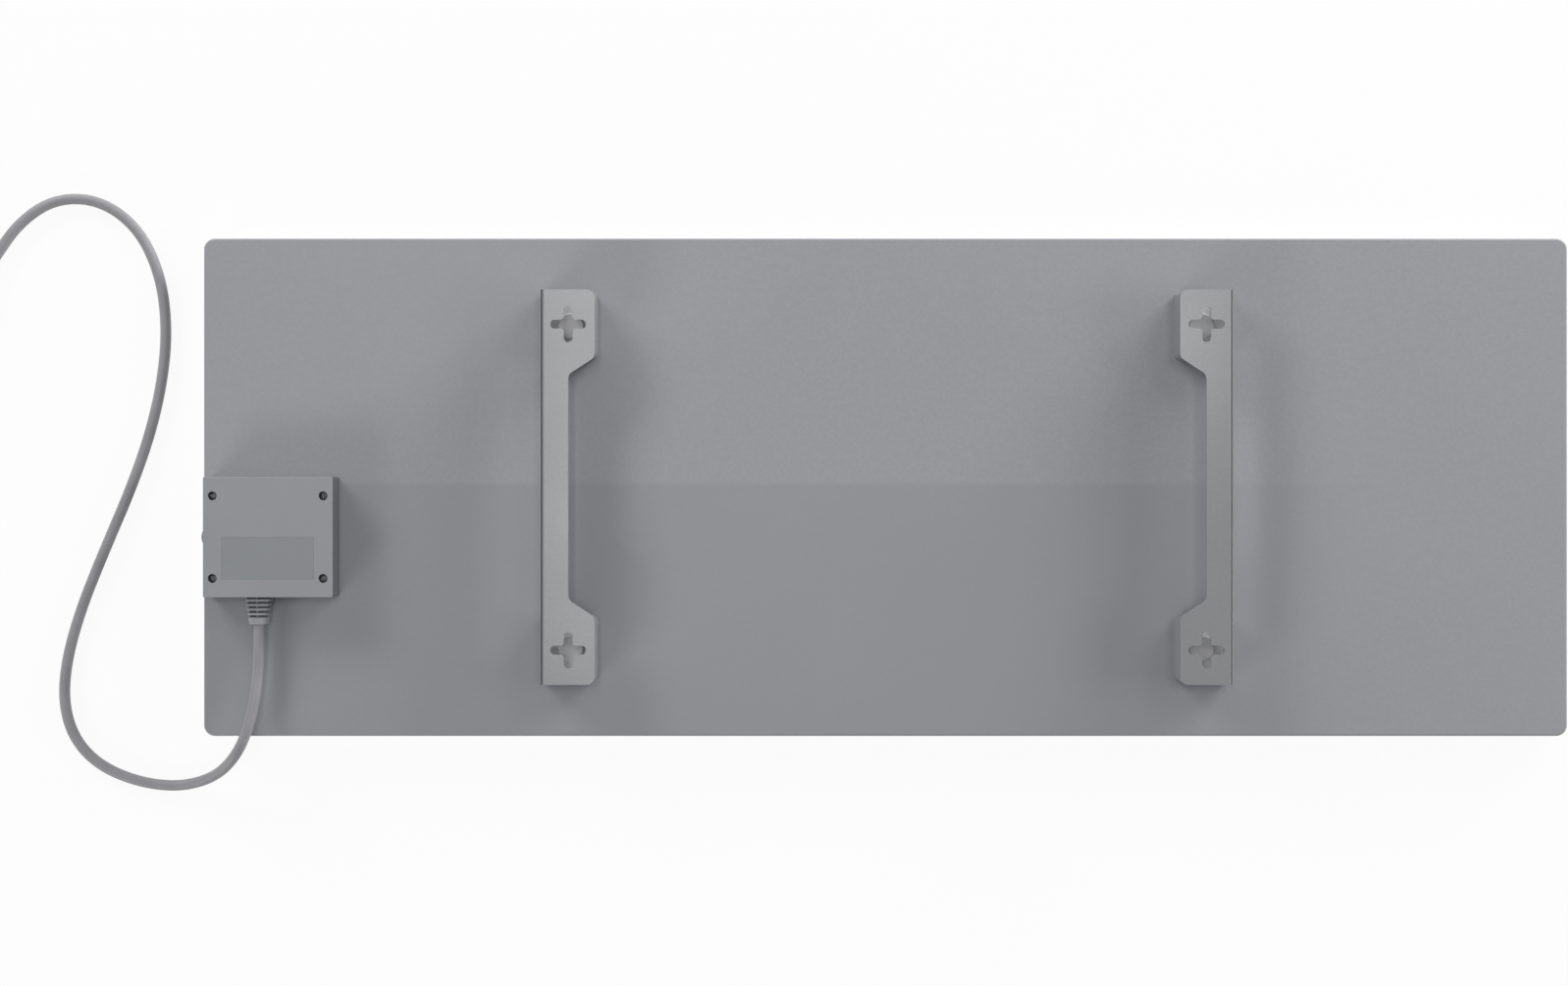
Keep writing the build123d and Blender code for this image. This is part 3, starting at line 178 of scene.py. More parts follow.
class HeaterColours(bpy.types.PropertyGroup):
    """Colours of the finishes that show."""

    rear_paint: colour_setting("Rear paint", "Satin paint of the rear panel", (0.287, 0.295, 0.317))
    bracket_paint: colour_setting(
        "Bracket paint", "Satin paint of the wall brackets", (0.235, 0.24, 0.248)
    )
    front_enamel: colour_setting(
        "Front enamel", "Enamel of the radiating front", (0.8, 0.8, 0.785)
    )
    box_plastic: colour_setting("Box plastic", "Moulding of the junction box", (0.27, 0.277, 0.292))
    # Painted shade: the dark tone of the box's side walls stands in for the shade on them.
    box_side_shade: colour_setting("Box side shade", "Tone of the box's side walls", (0.085, 0.087, 0.092))
    label_film: colour_setting("Label film", "Blank film on the box cover", (0.228, 0.24, 0.25))
    relief_rubber: colour_setting("Relief rubber", "Strain relief", (0.31, 0.32, 0.336))
    cord_sheath: colour_setting("Cord sheath", "Sheath of the mains cord", (0.285, 0.282, 0.3))
    # Painted light: a light colour inside the brackets' ears and on the panel under them, which
    # lightens the shade seen through the keyholes.
    ear_painted_light: colour_setting(
        "Painted ear light", "Light painted inside the brackets' ears", (0.75, 0.75, 0.76)
    )
    bracket_screw: colour_setting(
        "Bracket screws", "Plating of the heads in the keyholes", (0.65, 0.65, 0.66)
    )
    cover_screw: colour_setting("Cover screws", "Blacking of the cover's screws", (0.1, 0.1, 0.105))
    button_plastic: colour_setting("Button", "Moulding of the power button", (0.2, 0.205, 0.215))


class HeaterSizes(bpy.types.PropertyGroup):
    """Sizes of the pieces that are modelled here."""

    cord_diameter: length_setting("Cord diameter", "Outside of the cord's sheath", 0.0078)
    bracket_sheet: length_setting("Bracket sheet", "Thickness of the brackets' sheet", 0.0015)
    ear_corner: length_setting("Ear corner", "Corner radius of the ears", 0.006)
    ear_wall: length_setting("Ear wall", "Length of the wall that closes an ear", 0.0495)
    label_width: length_setting("Label width", "Field for a rating plate, across", 0.0667)
    label_height: length_setting("Label height", "Field for a rating plate, upright", 0.0303)
    label_drop: length_setting("Label drop", "From the cover's middle to the field's", 0.0153)
    label_recess: length_setting("Label recess", "Depth of the field", 0.0003)
    screw_head: length_setting("Screw head", "Diameter of a cover screw's head", 0.0056)
    screw_head_height: length_setting("Head height", "Height of a cover screw's head", 0.0016)
    screw_shank: length_setting("Screw shank", "Diameter of a cover screw's shank", 0.003)
    tie_width: length_setting("Tie width", "Width of the band round the coil", 0.01)
    tie_thickness: length_setting("Tie thickness", "Thickness of the band", 0.001)
    button_diameter: length_setting("Button diameter", "Diameter of the button's cap", 0.01)
    button_reach: length_setting("Button reach", "How far the cap stands out of the box", 0.0031)
    fin_pitch: length_setting("Fin pitch", "From one fin of the strain relief to the next", 0.0033)
    fin_gap: length_setting("Fin gap", "Width of a groove between the fins", 0.0018)
    relief_length: length_setting("Relief length", "Strain relief outside the box", 0.02)


class HeaterStage(bpy.types.PropertyGroup):
    """Camera and light of the studio."""

    camera_place: FloatVectorProperty(
        name="Camera place",
        description="Where the camera stands, looking straight down",
        subtype="TRANSLATION",
        unit="LENGTH",
        size=3,
        default=(-0.0745, -0.0042, 1.444),
    )
    camera_lens: FloatProperty(
        name="Lens", description="Focal length for a 36 mm sensor", min=10, default=44.59
    )
    strip_power: power_setting("Overhead strip", "Long softbox over the left bracket", 13.6)
    small_power: power_setting("Overhead small", "Small softbox over the right bracket", 7.3)
    upper_left_power: power_setting("Upper left", "Low softbox past the upper left corner", 40)
    lower_left_power: power_setting("Lower left", "Low softbox past the lower left corner", 28)
    right_power: power_setting("Right", "Low softbox at the right side", 23)
    upper_right_power: power_setting("Upper right", "Softbox past the upper right corner", 10)
    skimming_power: power_setting(
        "Skimming", "Softbox near the floor, past the upper right corner", 78
    )
    world_level: FloatProperty(
        name="Surround", description="Strength of the white surround", min=0, default=0.1
    )


# ---- Finishes ---------------------------------------------------------------------------
class Finish:
    """A node material that is built up round one shader, in the object's own coordinates."""

    def __init__(self, name, roughness, metallic=0.0, specular=0.5):
        self.material = bpy.data.materials.new(name)
        self.material.use_nodes = True
        self.tree = self.material.node_tree
        self.shader = self.tree.nodes["Principled BSDF"]
        self.shader.inputs["Roughness"].default_value = roughness
        self.shader.inputs["Metallic"].default_value = metallic
        self.shader.inputs["Specular IOR Level"].default_value = specular
        self.place = self.tree.nodes.new("ShaderNodeTexCoord").outputs["Object"]
        self.height = None

    def link(self, source, target):
        """Join an output to an input."""
        self.tree.links.new(source, target)

    def sum(self, operation, first, second=0.0):
        """The outcome of a sum on outputs or numbers."""
        node = self.tree.nodes.new("ShaderNodeMath")
        node.operation = operation
        for socket, value in zip(node.inputs, (first, second)):
            if isinstance(value, (int, float)):
                socket.default_value = value
            else:
                self.link(value, socket)
        return node.outputs[0]

    def product(self, first, second):
        """Two values multiplied."""
        return self.sum("MULTIPLY", first, second)

    def away(self, value, middle=0.0):
        """How far a value lies from a middle, to either side."""
        return self.sum("ABSOLUTE", self.sum("SUBTRACT", value, middle))

    def stretched(self, stretch):
        """The object's coordinates, scaled along each axis."""
        mapping = self.tree.nodes.new("ShaderNodeMapping")
        mapping.inputs["Scale"].default_value = stretch
        self.link(self.place, mapping.inputs["Vector"])
        return mapping.outputs["Vector"]

    def noise(self, scale, detail, stretch=None):
        """Cloudy noise, from 0 to 1."""
        node = self.tree.nodes.new("ShaderNodeTexNoise")
        node.inputs["Scale"].default_value = scale
        node.inputs["Detail"].default_value = detail
        self.link(self.stretched(stretch) if stretch else self.place, node.inputs["Vector"])
        return node.outputs["Fac"]

    def grains(self, scale):
        """The distance to the nearest of many scattered points."""
        node = self.tree.nodes.new("ShaderNodeTexVoronoi")
        node.inputs["Scale"].default_value = scale
        self.link(self.place, node.inputs["Vector"])
        return node.outputs["Distance"]

    def between(self, value, low, high, out_low, out_high):
        """A value moved from one span to another, and held inside it."""
        node = self.tree.nodes.new("ShaderNodeMapRange")
        for socket, number in zip(node.inputs[1:5], (low, high, out_low, out_high)):
            socket.default_value = number
        self.link(value, node.inputs["Value"])
        return node.outputs["Result"]

    def blend(self, amount, first, second):
        """Two colours mixed by a value."""
        node = self.tree.nodes.new("ShaderNodeMix")
        node.data_type = "RGBA"
        self.link(amount, node.inputs["Factor"])
        for socket, colour in zip(node.inputs[6:8], (first, second)):
            if isinstance(colour, bpy.types.NodeSocket):
                self.link(colour, socket)
            else:
                socket.default_value = (*colour, 1)
        return node.outputs[2]

    def paint(self, colour):
        """Give the shader its base colour."""
        self.link(colour, self.shader.inputs["Base Color"])

    def mottle(self, amount, colour, dark, light):
        """Paint in a darker and a lighter shade of a colour, mixed by a value."""
        self.paint(self.blend(amount, shade(colour, dark), shade(colour, light)))

    def tint(self, amount, colour):
        """Move the base colour towards another one by a value."""
        painted = self.shader.inputs["Base Color"].links[0].from_socket
        self.paint(self.blend(amount, painted, colour))

    def span(self, value, low, high, fade):
        """1 where a value lies between two others, and 0 past a short fade outside them."""
        return self.product(
            self.between(value, low - fade, low, 0, 1),
            self.between(value, high, high + fade, 1, 0),
        )

    def axes(self):
        """The object's coordinates, one by one."""
        parts = self.tree.nodes.new("ShaderNodeSeparateXYZ")
        self.link(self.place, parts.inputs[0])
        return parts.outputs

    def gloss(self, value, low, high):
        """Let the roughness wander between two values."""
        self.link(self.between(value, 0.3, 0.7, low, high), self.shader.inputs["Roughness"])

    def relief(self, value, depth):
        """Raise the surface by a value, to a depth in metres."""
        node = self.tree.nodes.new("ShaderNodeBump")
        node.inputs["Strength"].default_value = 1
        node.inputs["Distance"].default_value = depth
        self.link(value, node.inputs["Height"])
        if self.height:
            self.link(self.height, node.inputs["Normal"])
        self.height = node.outputs["Normal"]
        self.link(self.height, self.shader.inputs["Normal"])

    def soft_edges(self, radius):
        """Round the sharp edges in the shading, as a mould does."""
        node = self.tree.nodes.new("ShaderNodeBevel")
        node.samples = 6
        node.inputs["Radius"].default_value = radius
        self.height = node.outputs["Normal"]
        self.link(self.height, self.shader.inputs["Normal"])


def shade(colour, factor):
    """A colour made lighter or darker."""
    return tuple(min(1.0, channel * factor) for channel in colour)


def painted_steel(name, colour, roughness):
    """Satin paint on sheet metal: faint clouds of tone and a fine orange peel."""
    finish = Finish(name, roughness)
    clouds = finish.between(finish.noise(2.4, 3), 0.35, 0.65, 0, 1)
    finish.mottle(clouds, colour, 0.97, 1.03)
    flecks = finish.between(finish.noise(420, 2), 0.42, 0.62, 0, 0.35)
    finish.tint(flecks, shade(colour, 1.12))
    finish.gloss(finish.noise(9, 3), roughness - 0.04, roughness + 0.05)
    finish.relief(finish.noise(780, 2), 0.000012)
    return finish


def inside_ears(finish, x, y):
    """1 within the brackets' ears, seen from above."""
    across = finish.span(finish.away(x), *EARS_ACROSS, fade=0.0002)
    upright = finish.span(finish.away(y), *EARS_UPRIGHT, fade=0.0003)
    return finish.product(across, upright)


def rear_paint(colour, ear_light):
    """The rear sheet's paint, with painted shade over its lower part and painted light under the
    ears.
    """
    finish = painted_steel("rear_paint", colour, 0.5)
    x, y, _ = finish.axes()
    # Painted shade: the lower part of the rear sheet is darkened up to a line across its middle,
    # fading out to the right.
    below = finish.between(y, *SHADE_STEP_TOP, SHADE_STEP_SHARE, 0)
    fading = finish.between(x, *SHADE_STEP_RIGHT, 1, 0)
    finish.tint(finish.product(below, fading), shade(colour, 0.86))
    # Painted light: the panel under the ears is lightened.
    finish.tint(inside_ears(finish, x, y), ear_light)
    return finish.material


def bracket_paint(colour, ear_light):
    """The brackets' paint, with a painted shade line along the wall plates' outer bend and painted
    light inside the ears.
    """
    finish = painted_steel("bracket_paint", colour, 0.2)
    x, y, z = finish.axes()
    # Painted shade: a dark line along the wall plate's outer bend.
    line = finish.span(finish.away(x, BEND_SHADE_MIDDLE), *BEND_SHADE, fade=0.0003)
    on_plate = finish.between(z, *BEND_SHADE_HEIGHT, 0, 1)
    finish.tint(finish.product(line, on_plate), shade(colour, 0.08))
    # Painted light: the bracket's sheet below the plate, inside the ears, is lightened.
    below_plate = finish.between(z, *EARS_TOP, 1, 0)
    finish.tint(finish.product(inside_ears(finish, x, y), below_plate), ear_light)
    return finish.material


def enamel(colour):
    """Smooth stoved enamel of the radiating face."""
    finish = Finish("front_enamel", 0.32)
    finish.mottle(finish.noise(3, 2), colour, 0.98, 1.02)
    finish.gloss(finish.noise(14, 2), 0.28, 0.38)
    finish.relief(finish.noise(260, 2), 0.00001)
    return finish.material


def moulding(name, colour, roughness, grain=1500, depth=0.000015, edge=0.0):
    """Moulded plastic with a spark-eroded grain."""
    finish = Finish(name, roughness)
    finish.mottle(finish.between(finish.noise(18, 2), 0.3, 0.7, 0, 1), colour, 0.965, 1.035)
    finish.gloss(finish.noise(60, 2), roughness - 0.05, roughness + 0.06)
    if edge:
        finish.soft_edges(edge)
    finish.relief(finish.grains(grain), depth)
    return finish


def moulded_plastic(name, colour, roughness, grain=1500, depth=0.000015):
    """The material of a plain moulding."""
    return moulding(name, colour, roughness, grain, depth).material


def box_moulding(colour, side_shade):
    """The junction box's plastic, with painted shade on its side walls below the cover's face."""
    finish = moulding("box_plastic", colour, 0.5, edge=0.0003)
    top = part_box("box_cover")[1][2]
    _, _, z = finish.axes()
    # Painted shade: the box's side walls are darkened below the cover's face.
    full, gone = WALL_SHADE_SPAN
    finish.tint(finish.between(z, top - full, top - gone, 1, 0), side_shade)
    return finish.material


def soft_rubber(name, colour, roughness):
    """Matte rubber or soft sheathing with a fine bloom."""
    finish = Finish(name, roughness, specular=0.4)
    finish.shader.inputs["Sheen Weight"].default_value = 0.1
    finish.shader.inputs["Sheen Roughness"].default_value = 0.5
    finish.mottle(finish.between(finish.noise(55, 4), 0.35, 0.7, 0, 1), colour, 0.94, 1.06)
    finish.gloss(finish.noise(120, 3), roughness - 0.08, roughness + 0.08)
    finish.relief(finish.noise(1400, 3), 0.00002)
    return finish


def rubber(name, colour, roughness):
    """The material of plain rubber or sheathing."""
    return soft_rubber(name, colour, roughness).material


def finned_rubber(colour, sizes):
    """The strain relief's rubber, with painted shade in the grooves between the fins, weaker over
    their rib.
    """
    low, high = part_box("strain_relief")
    start = low[1] + sizes.relief_length
    finish = soft_rubber("relief_rubber", colour, 0.55)
    x, y, _ = finish.axes()
    # Painted shade: the grooves between the fins are darkened.
    pitches = finish.product(finish.sum("SUBTRACT", start, y), 1 / sizes.fin_pitch)
    gap = sizes.fin_gap / sizes.fin_pitch
    soft = 0.03
    groove = finish.span(finish.sum("FRACT", pitches), soft, gap - soft, soft)
    last_groove_end = start - (FIN_GROOVES - 1) * sizes.fin_pitch - sizes.fin_gap
    outside = finish.span(y, last_groove_end, start, fade=0.0001)
    off_rib = finish.away(x, (low[0] + high[0]) / 2)
    depth = finish.between(off_rib, 0.0004, 0.0007, 0.55, 1)
    amount = finish.product(finish.product(groove, outside), depth)
    finish.tint(amount, shade(colour, 0.25))
    return finish.material


def plated(name, colour, roughness, stretch=(1, 1, 1)):
    """Plated metal with fine drawn marks."""
    finish = Finish(name, roughness, metallic=1.0)
    marks = finish.noise(700, 3, stretch)
    finish.mottle(marks, colour, 0.86, 1.14)
    finish.gloss(finish.noise(240, 3), roughness - 0.08, roughness + 0.1)
    finish.relief(marks, 0.000008)
    return finish.material


def pressed_fibre(name, colour):
    """Pressed mineral fibre: short pale strands and pits."""
    finish = Finish(name, 0.9, specular=0.2)
    strands = finish.noise(260, 6, (1, 3, 6))
    finish.mottle(strands, colour, 0.82, 1.08)
    finish.relief(strands, 0.0004)
    finish.relief(finish.grains(340), 0.0002)
    return finish.material


def printed_film(name, colour):
    """Printed resistive film with a faint screen pattern."""
    finish = Finish(name, 0.55)
    finish.mottle(finish.noise(90, 4), colour, 0.8, 1.3)
    finish.relief(finish.grains(2200), 0.00001)
    return finish.material


def board_laminate(name, colour):
    """Solder mask over a woven laminate."""
    finish = Finish(name, 0.35)
    threads = []
    for direction in ("X", "Y"):
        wave = finish.tree.nodes.new("ShaderNodeTexWave")
        wave.bands_direction = direction
        wave.inputs["Scale"].default_value = 420
        finish.link(finish.place, wave.inputs["Vector"])
        threads.append(wave.outputs["Fac"])
    weave = finish.sum("ADD", *threads)
    finish.mottle(finish.between(weave, 0, 2, 0, 1), colour, 0.85, 1.1)
    finish.relief(weave, 0.000008)
    return finish.material


def woven_band(name, colour):
    """Woven hook-and-loop band."""
    finish = Finish(name, 0.85, specular=0.25)
    finish.shader.inputs["Sheen Weight"].default_value = 0.35
    weave = finish.product(
        finish.noise(900, 1, (1, 1, 0.35)), finish.noise(900, 1, (0.35, 0.35, 1))
    )
    finish.mottle(finish.between(weave, 0.1, 0.4, 0, 1), colour, 0.6, 1.7)
    finish.relief(weave, 0.0003)
    return finish.material


def cloudy_ceramic(name, colour):
    """Glazed ceramic."""
    finish = Finish(name, 0.22)
    finish.mottle(finish.noise(300, 3), colour, 0.93, 1)
    finish.relief(finish.noise(500, 2), 0.00001)
    return finish.material


def coat_nodes(material, *names):
    """Give CAD nodes a finish."""
    for name in names:
        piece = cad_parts[name]
        piece.data.materials.clear()
        piece.data.materials.append(material)


# ---- Mesh helpers -----------------------------------------------------------------------
def add_piece(name, mesh, material, body=HEATER):
    """Put a finished mesh in the scene, riding on a body."""
    for polygon in mesh.polygons:
        polygon.use_smooth = True
    mesh.set_sharp_from_angle(angle=SMOOTH_UP_TO)
    mesh.materials.clear()
    mesh.materials.append(material)
    piece = bpy.data.objects.new(name, mesh)
    bpy.context.collection.objects.link(piece)
    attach(piece, body)
    return piece


def mesh_from(name, build):
    """A mesh that holds what a bmesh builder leaves."""
    mesh = bpy.data.meshes.new(name)
    build.normal_update()
    build.to_mesh(mesh)
    build.free()
    return mesh


def rounded_outline(half_width, half_height, corner, steps):
    """Points round a rectangle with rounded corners, from its right side on."""
    points = []
    for turn, (across, up) in enumerate(((1, 1), (-1, 1), (-1, -1), (1, -1))):
        for step in range(steps):
            angle = math.radians(90 * (turn + step / (steps - 1)))
            x = across * (half_width - corner) + corner * math.cos(angle)
            y = up * (half_height - corner) + corner * math.sin(angle)
            points.append((x, y))
    return points


def rounded_rim(radius, height, reach, rise):
    """Profile points of a rim that rounds over from a turned piece's side to its top."""
    return [
        (
            radius - reach + reach * math.cos(math.radians(angle)),
            height - rise + rise * math.sin(math.radians(angle)),
        )
        for angle in range(0, 91, 15)
    ]


def bridge(build, first, second, closed=True):
    """Faces between two lines of points, which run round unless told otherwise."""
    for index in range(len(first) if closed else len(first) - 1):
        after = (index + 1) % len(first)
        build.faces.new((first[index], first[after], second[after], second[index]))


def turned(build, profile, steps):
    """Turn a profile of (radius, height) points about the upright axis."""
    rings = []
    for radius, height in profile:
        if radius <= 0:
            rings.append([build.verts.new((0, 0, height))])
            continue
        angles = [2 * math.pi * step / steps for step in range(steps)]
        rings.append(
            [
                build.verts.new((radius * math.cos(angle), radius * math.sin(angle), height))
                for angle in angles
            ]
        )
    for low, high in zip(rings, rings[1:]):
        for step in range(steps):
            after = (step + 1) % steps
            corners = [low[step % len(low)], low[after % len(low)]]
            corners += [high[after % len(high)], high[step % len(high)]]
            corners = list(dict.fromkeys(corners))
            if len(corners) > 2:
                build.faces.new(corners)


def cut_with(mesh, cutter):
    """Take one closed mesh out of another."""
    solid = bpy.data.objects.new("cut_solid", mesh)
    tool = bpy.data.objects.new("cut_tool", cutter)
    for piece in (solid, tool):
        bpy.context.collection.objects.link(piece)
    modifier = solid.modifiers.new("cut", "BOOLEAN")
    modifier.object = tool
    modifier.operation = "DIFFERENCE"
    modifier.solver = "EXACT"
    depsgraph = bpy.context.evaluated_depsgraph_get()
    cut = bpy.data.meshes.new_from_object(solid.evaluated_get(depsgraph))
    for piece in (solid, tool):
        bpy.data.objects.remove(piece)
    return cut


# ---- Mains cord -------------------------------------------------------------------------
def coil_state(turns):
    """Where the coil's centreline is after some turns, and which way it heads there.

    It winds inwards in the lower layer, climbs within half a turn and winds out again above.
    """
    climb = min(max(turns - COIL_LAYER_TURNS, 0.0), COIL_CLIMB_TURNS)
    inward = min(turns, COIL_LAYER_TURNS)
    outward = max(turns - COIL_LAYER_TURNS - COIL_CLIMB_TURNS, 0.0)
    radius = COIL_RADIUS - COIL_PITCH * (inward + climb * (1 - 2 * climb) - outward)
    radius_rate = COIL_PITCH * (-1 if turns < COIL_LAYER_TURNS else 4 * climb - 1)
    height = COIL_LOW + COIL_RISE * (12 * climb**2 - 16 * climb**3)
    height_rate = COIL_RISE * (24 * climb - 48 * climb**2)
    angle = COIL_START_ANGLE - 2 * math.pi * turns
    outwards = Vector((math.cos(angle), math.sin(angle), 0))
    onwards = Vector((math.sin(angle), -math.cos(angle), 0))
    place = Vector((*COIL_CENTRE, height)) + outwards * radius
    rates = outwards * radius_rate + onwards * (2 * math.pi * radius) + Vector((0, 0, height_rate))
    return place, rates.normalized()


def cord_points(diameter):
    """Control points of the whole cord: free line, coil and tail.

    The spline runs inside its control points by a share that depends on their spacing, so the
    coil's points stand out by as much.
    """
    inside = math.cos(math.pi / COIL_POINTS_PER_TURN)
    start, start_heading = coil_state(0)
    end, end_heading = coil_state(COIL_TURNS)
    entry = start - start_heading * diameter
    leaving = end + end_heading * diameter
    points = [Vector(point) for point in CORD_ROUTE]
    points += [entry - start_heading * COIL_LEAD_IN, entry]
    for index in range(int(COIL_TURNS * COIL_POINTS_PER_TURN)):
        place, _ = coil_state((index + 0.5) / COIL_POINTS_PER_TURN)
        middle = Vector((*COIL_CENTRE, place.z))
        points.append(middle + (place - middle) / inside)
    turn_rise = Matrix.Rotation(TAIL_TURN, 3, "Z")
    rise_from = leaving + end_heading * TAIL_END_RUN
    rise_to = rise_from + turn_rise @ end_heading * TAIL_RISE_RUN
    rise_to.z = PLUG_AXIS_HEIGHT
    plug_entry = rise_to + turn_rise @ turn_rise @ end_heading * TAIL_END_RUN
    points += [leaving, rise_from, rise_to, plug_entry]
    return points


def cord_curve(points, diameter):
    """A round curve along a smooth spline with those control points."""
    curve = bpy.data.curves.new("mains_cord", "CURVE")
    curve.dimensions = "3D"
    curve.bevel_depth = diameter / 2
    curve.bevel_resolution = 6
    curve.use_fill_caps = True
    curve.resolution_u = 6
    spline = curve.splines.new("NURBS")
    spline.points.add(len(points) - 1)
    for control, point in zip(spline.points, points):
        control.co = (*point, 1)
    spline.order_u = 3
    spline.use_endpoint_u = True
    return curve


def spline_length(curve):
    """The length of a curve's own line."""
    line = curve.copy()
    line.bevel_depth = 0
    line.use_fill_caps = False
    carrier = bpy.data.objects.new("measured_line", line)
    mesh = bpy.data.meshes.new_from_object(carrier)
    length = sum(
        (mesh.vertices[edge.vertices[0]].co - mesh.vertices[edge.vertices[1]].co).length
        for edge in mesh.edges
    )
    bpy.data.objects.remove(carrier)
    return length


def tie_mesh(sizes):
    """A band round the coil's turns at one place, its lapped end on the outer side."""
    crossings = [
        coil_state((COIL_START_ANGLE - TIE_ANGLE) / (2 * math.pi) % 1 + lap)[0]
        for lap in range(COIL_LAYER_TURNS)
    ]
    flat_centre = Vector((*COIL_CENTRE, 0))
    radii = [((place * Vector((1, 1, 0))) - flat_centre).length for place in crossings]
    radius = sum(radii) / len(radii)
    outwards = Vector((math.cos(TIE_ANGLE), math.sin(TIE_ANGLE), 0))
    onwards = Vector((outwards.y, -outwards.x, 0))
    centre = flat_centre + outwards * radius + Vector((0, 0, COIL_LOW + COIL_RISE / 2))
    box_low, box_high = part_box("cord_tie")
    half_rise = (box_high[2] - box_low[2]) / 2 - sizes.tie_thickness / 2
    half_span = (COIL_PITCH + sizes.cord_diameter) / 2 + TIE_PLAY + sizes.tie_thickness / 2
    path = rounded_outline(half_span, half_rise, TIE_CORNER, 9)
    lap_rise = half_rise * TIE_LAP_SHARE
    lap = [(half_span + sizes.tie_thickness, up * lap_rise) for up in (-1, -0.5, 0, 0.5, 1)]
    build = bmesh.new()
    for line, closed in ((path, True), (lap, False)):
        band_strip(build, line, closed, centre, outwards, onwards, sizes)
    return mesh_from("hook_and_loop_tie", build)


def band_strip(build, line, closed, centre, outwards, onwards, sizes):
    """One run of band with rounded selvedges, along a line of (outwards, upwards) places."""
    half = sizes.tie_width / 2
    thick = sizes.tie_thickness / 2
    rows = []
    count = len(line)
    for index, (across, up) in enumerate(line):
        before = line[(index - 1) % count] if closed else line[max(index - 1, 0)]
        after = line[(index + 1) % count] if closed else line[min(index + 1, count - 1)]
        along = Vector((after[0] - before[0], after[1] - before[1])).normalized()
        out = Vector((along.y, -along.x))
        row = []
        for side, lift in BAND_SECTION:
            spot = Vector((across, up)) + out * (thick * lift)
            place = centre + outwards * spot.x + Vector((0, 0, spot.y)) + onwards * (half * side)
            row.append(build.verts.new(place))
        rows.append(row)
    for first, second in zip(rows, rows[1:] + rows[:1] if closed else rows[1:]):
        bridge(build, first, second)
    if not closed:
        build.faces.new(rows[0][::-1])
        build.faces.new(rows[-1])


class HEATER_OT_mains_cord(bpy.types.Operator):
    """Lay the mains cord along its route, coil its spare length and tie the coil"""

    bl_idname = "heater.mains_cord"
    bl_label = "Mains Cord"

    def execute(self, context):
        scene = context.scene
        sizes = scene.heater_sizes
        points = cord_points(sizes.cord_diameter)
        curve = cord_curve(points, sizes.cord_diameter)
        sheath = rubber("cord_sheath", scene.heater_colours.cord_sheath, 0.5)
        curve.materials.append(sheath)
        cord = bpy.data.objects.new("mains_cord", curve)
        context.collection.objects.link(cord)
        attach(cord, HEATER)
        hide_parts("power_cord", "cord_coil", "cord_tail")
        band = woven_band("tie_band", (0.02, 0.02, 0.022))
        tie = add_piece("coil_tie", tie_mesh(sizes), band)
        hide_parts("cord_tie")
        coat_nodes(sheath, "inner_cord")
        spline_length(curve)
        return {"FINISHED"}


class HEATER_OT_plug(bpy.types.Operator):
    """Finish the plug's moulding, pins and side contacts"""

    bl_idname = "heater.plug"
    bl_label = "Plug"

    def execute(self, context):
        colour = context.scene.heater_colours.cord_sheath
        coat_nodes(rubber("plug_moulding", shade(colour, 0.95), 0.48), "plug_body")
        coat_nodes(plated("pin_plating", (0.75, 0.74, 0.72), 0.2), "plug_pins", "plug_earth_clips")
        return {"FINISHED"}


# ---- Casing, brackets and box -----------------------------------------------------------
class HEATER_OT_casing(bpy.types.Operator):
    """Paint the rear panel and enamel the radiating front"""

    bl_idname = "heater.casing"
    bl_label = "Casing"

    def execute(self, context):
        colours = context.scene.heater_colours
        coat_nodes(rear_paint(colours.rear_paint, colours.ear_painted_light), "rear_panel")
        coat_nodes(enamel(colours.front_enamel), "front_panel")
        return {"FINISHED"}


class HEATER_OT_brackets(bpy.types.Operator):
    """Paint both wall brackets and the screws that hold them"""

    bl_idname = "heater.brackets"
    bl_label = "Wall Brackets"

    def execute(self, context):
        colours = context.scene.heater_colours
        paint = bracket_paint(colours.bracket_paint, colours.ear_painted_light)
        coat_nodes(paint, "wall_bracket_left", "wall_bracket_right")
        for side, outwards in (("left", -1), ("right", 1)):
            walls = ear_walls("ear_walls_" + side, context.scene.heater_sizes, outwards)
            add_piece("ear_walls_" + side, walls, paint)
        coating = painted_steel("head_coating", colours.bracket_screw, 0.42).material
        coat_nodes(coating, "bracket_screws")
        return {"FINISHED"}


def ear_walls(name, sizes, outwards):
    """The walls that close a bracket's two ears towards the panel's middle, from foot to plate."""
    low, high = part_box("wall_bracket_right")
    corners = (
        (high[1] - sizes.ear_corner, 90),
        (high[1] - sizes.ear_wall + sizes.ear_corner, 0),
    )
    turns = [(end, math.radians(start - 10 * step)) for end, start in corners for step in range(10)]
    side = low[0] + sizes.ear_corner
    outer, inner = [
        [(side - radius * math.cos(angle), end + radius * math.sin(angle)) for end, angle in turns]
        for radius in (sizes.ear_corner, sizes.ear_corner - sizes.bracket_sheet)
    ]
    foot, plate = low[2] + sizes.bracket_sheet, high[2] - sizes.bracket_sheet
    build = bmesh.new()
    for up in (-1, 1):
        rings = [
            [build.verts.new((outwards * x, up * y, height)) for x, y in line]
            for line, height in ((outer, foot), (outer, plate), (inner, plate), (inner, foot))
        ]
        for first, second in zip(rings, rings[1:] + rings[:1]):
            bridge(build, first, second, closed=False)
        for end in (0, -1):
            build.faces.new([ring[end] for ring in rings])
    bmesh.ops.recalc_face_normals(build, faces=build.faces)
    return mesh_from(name, build)


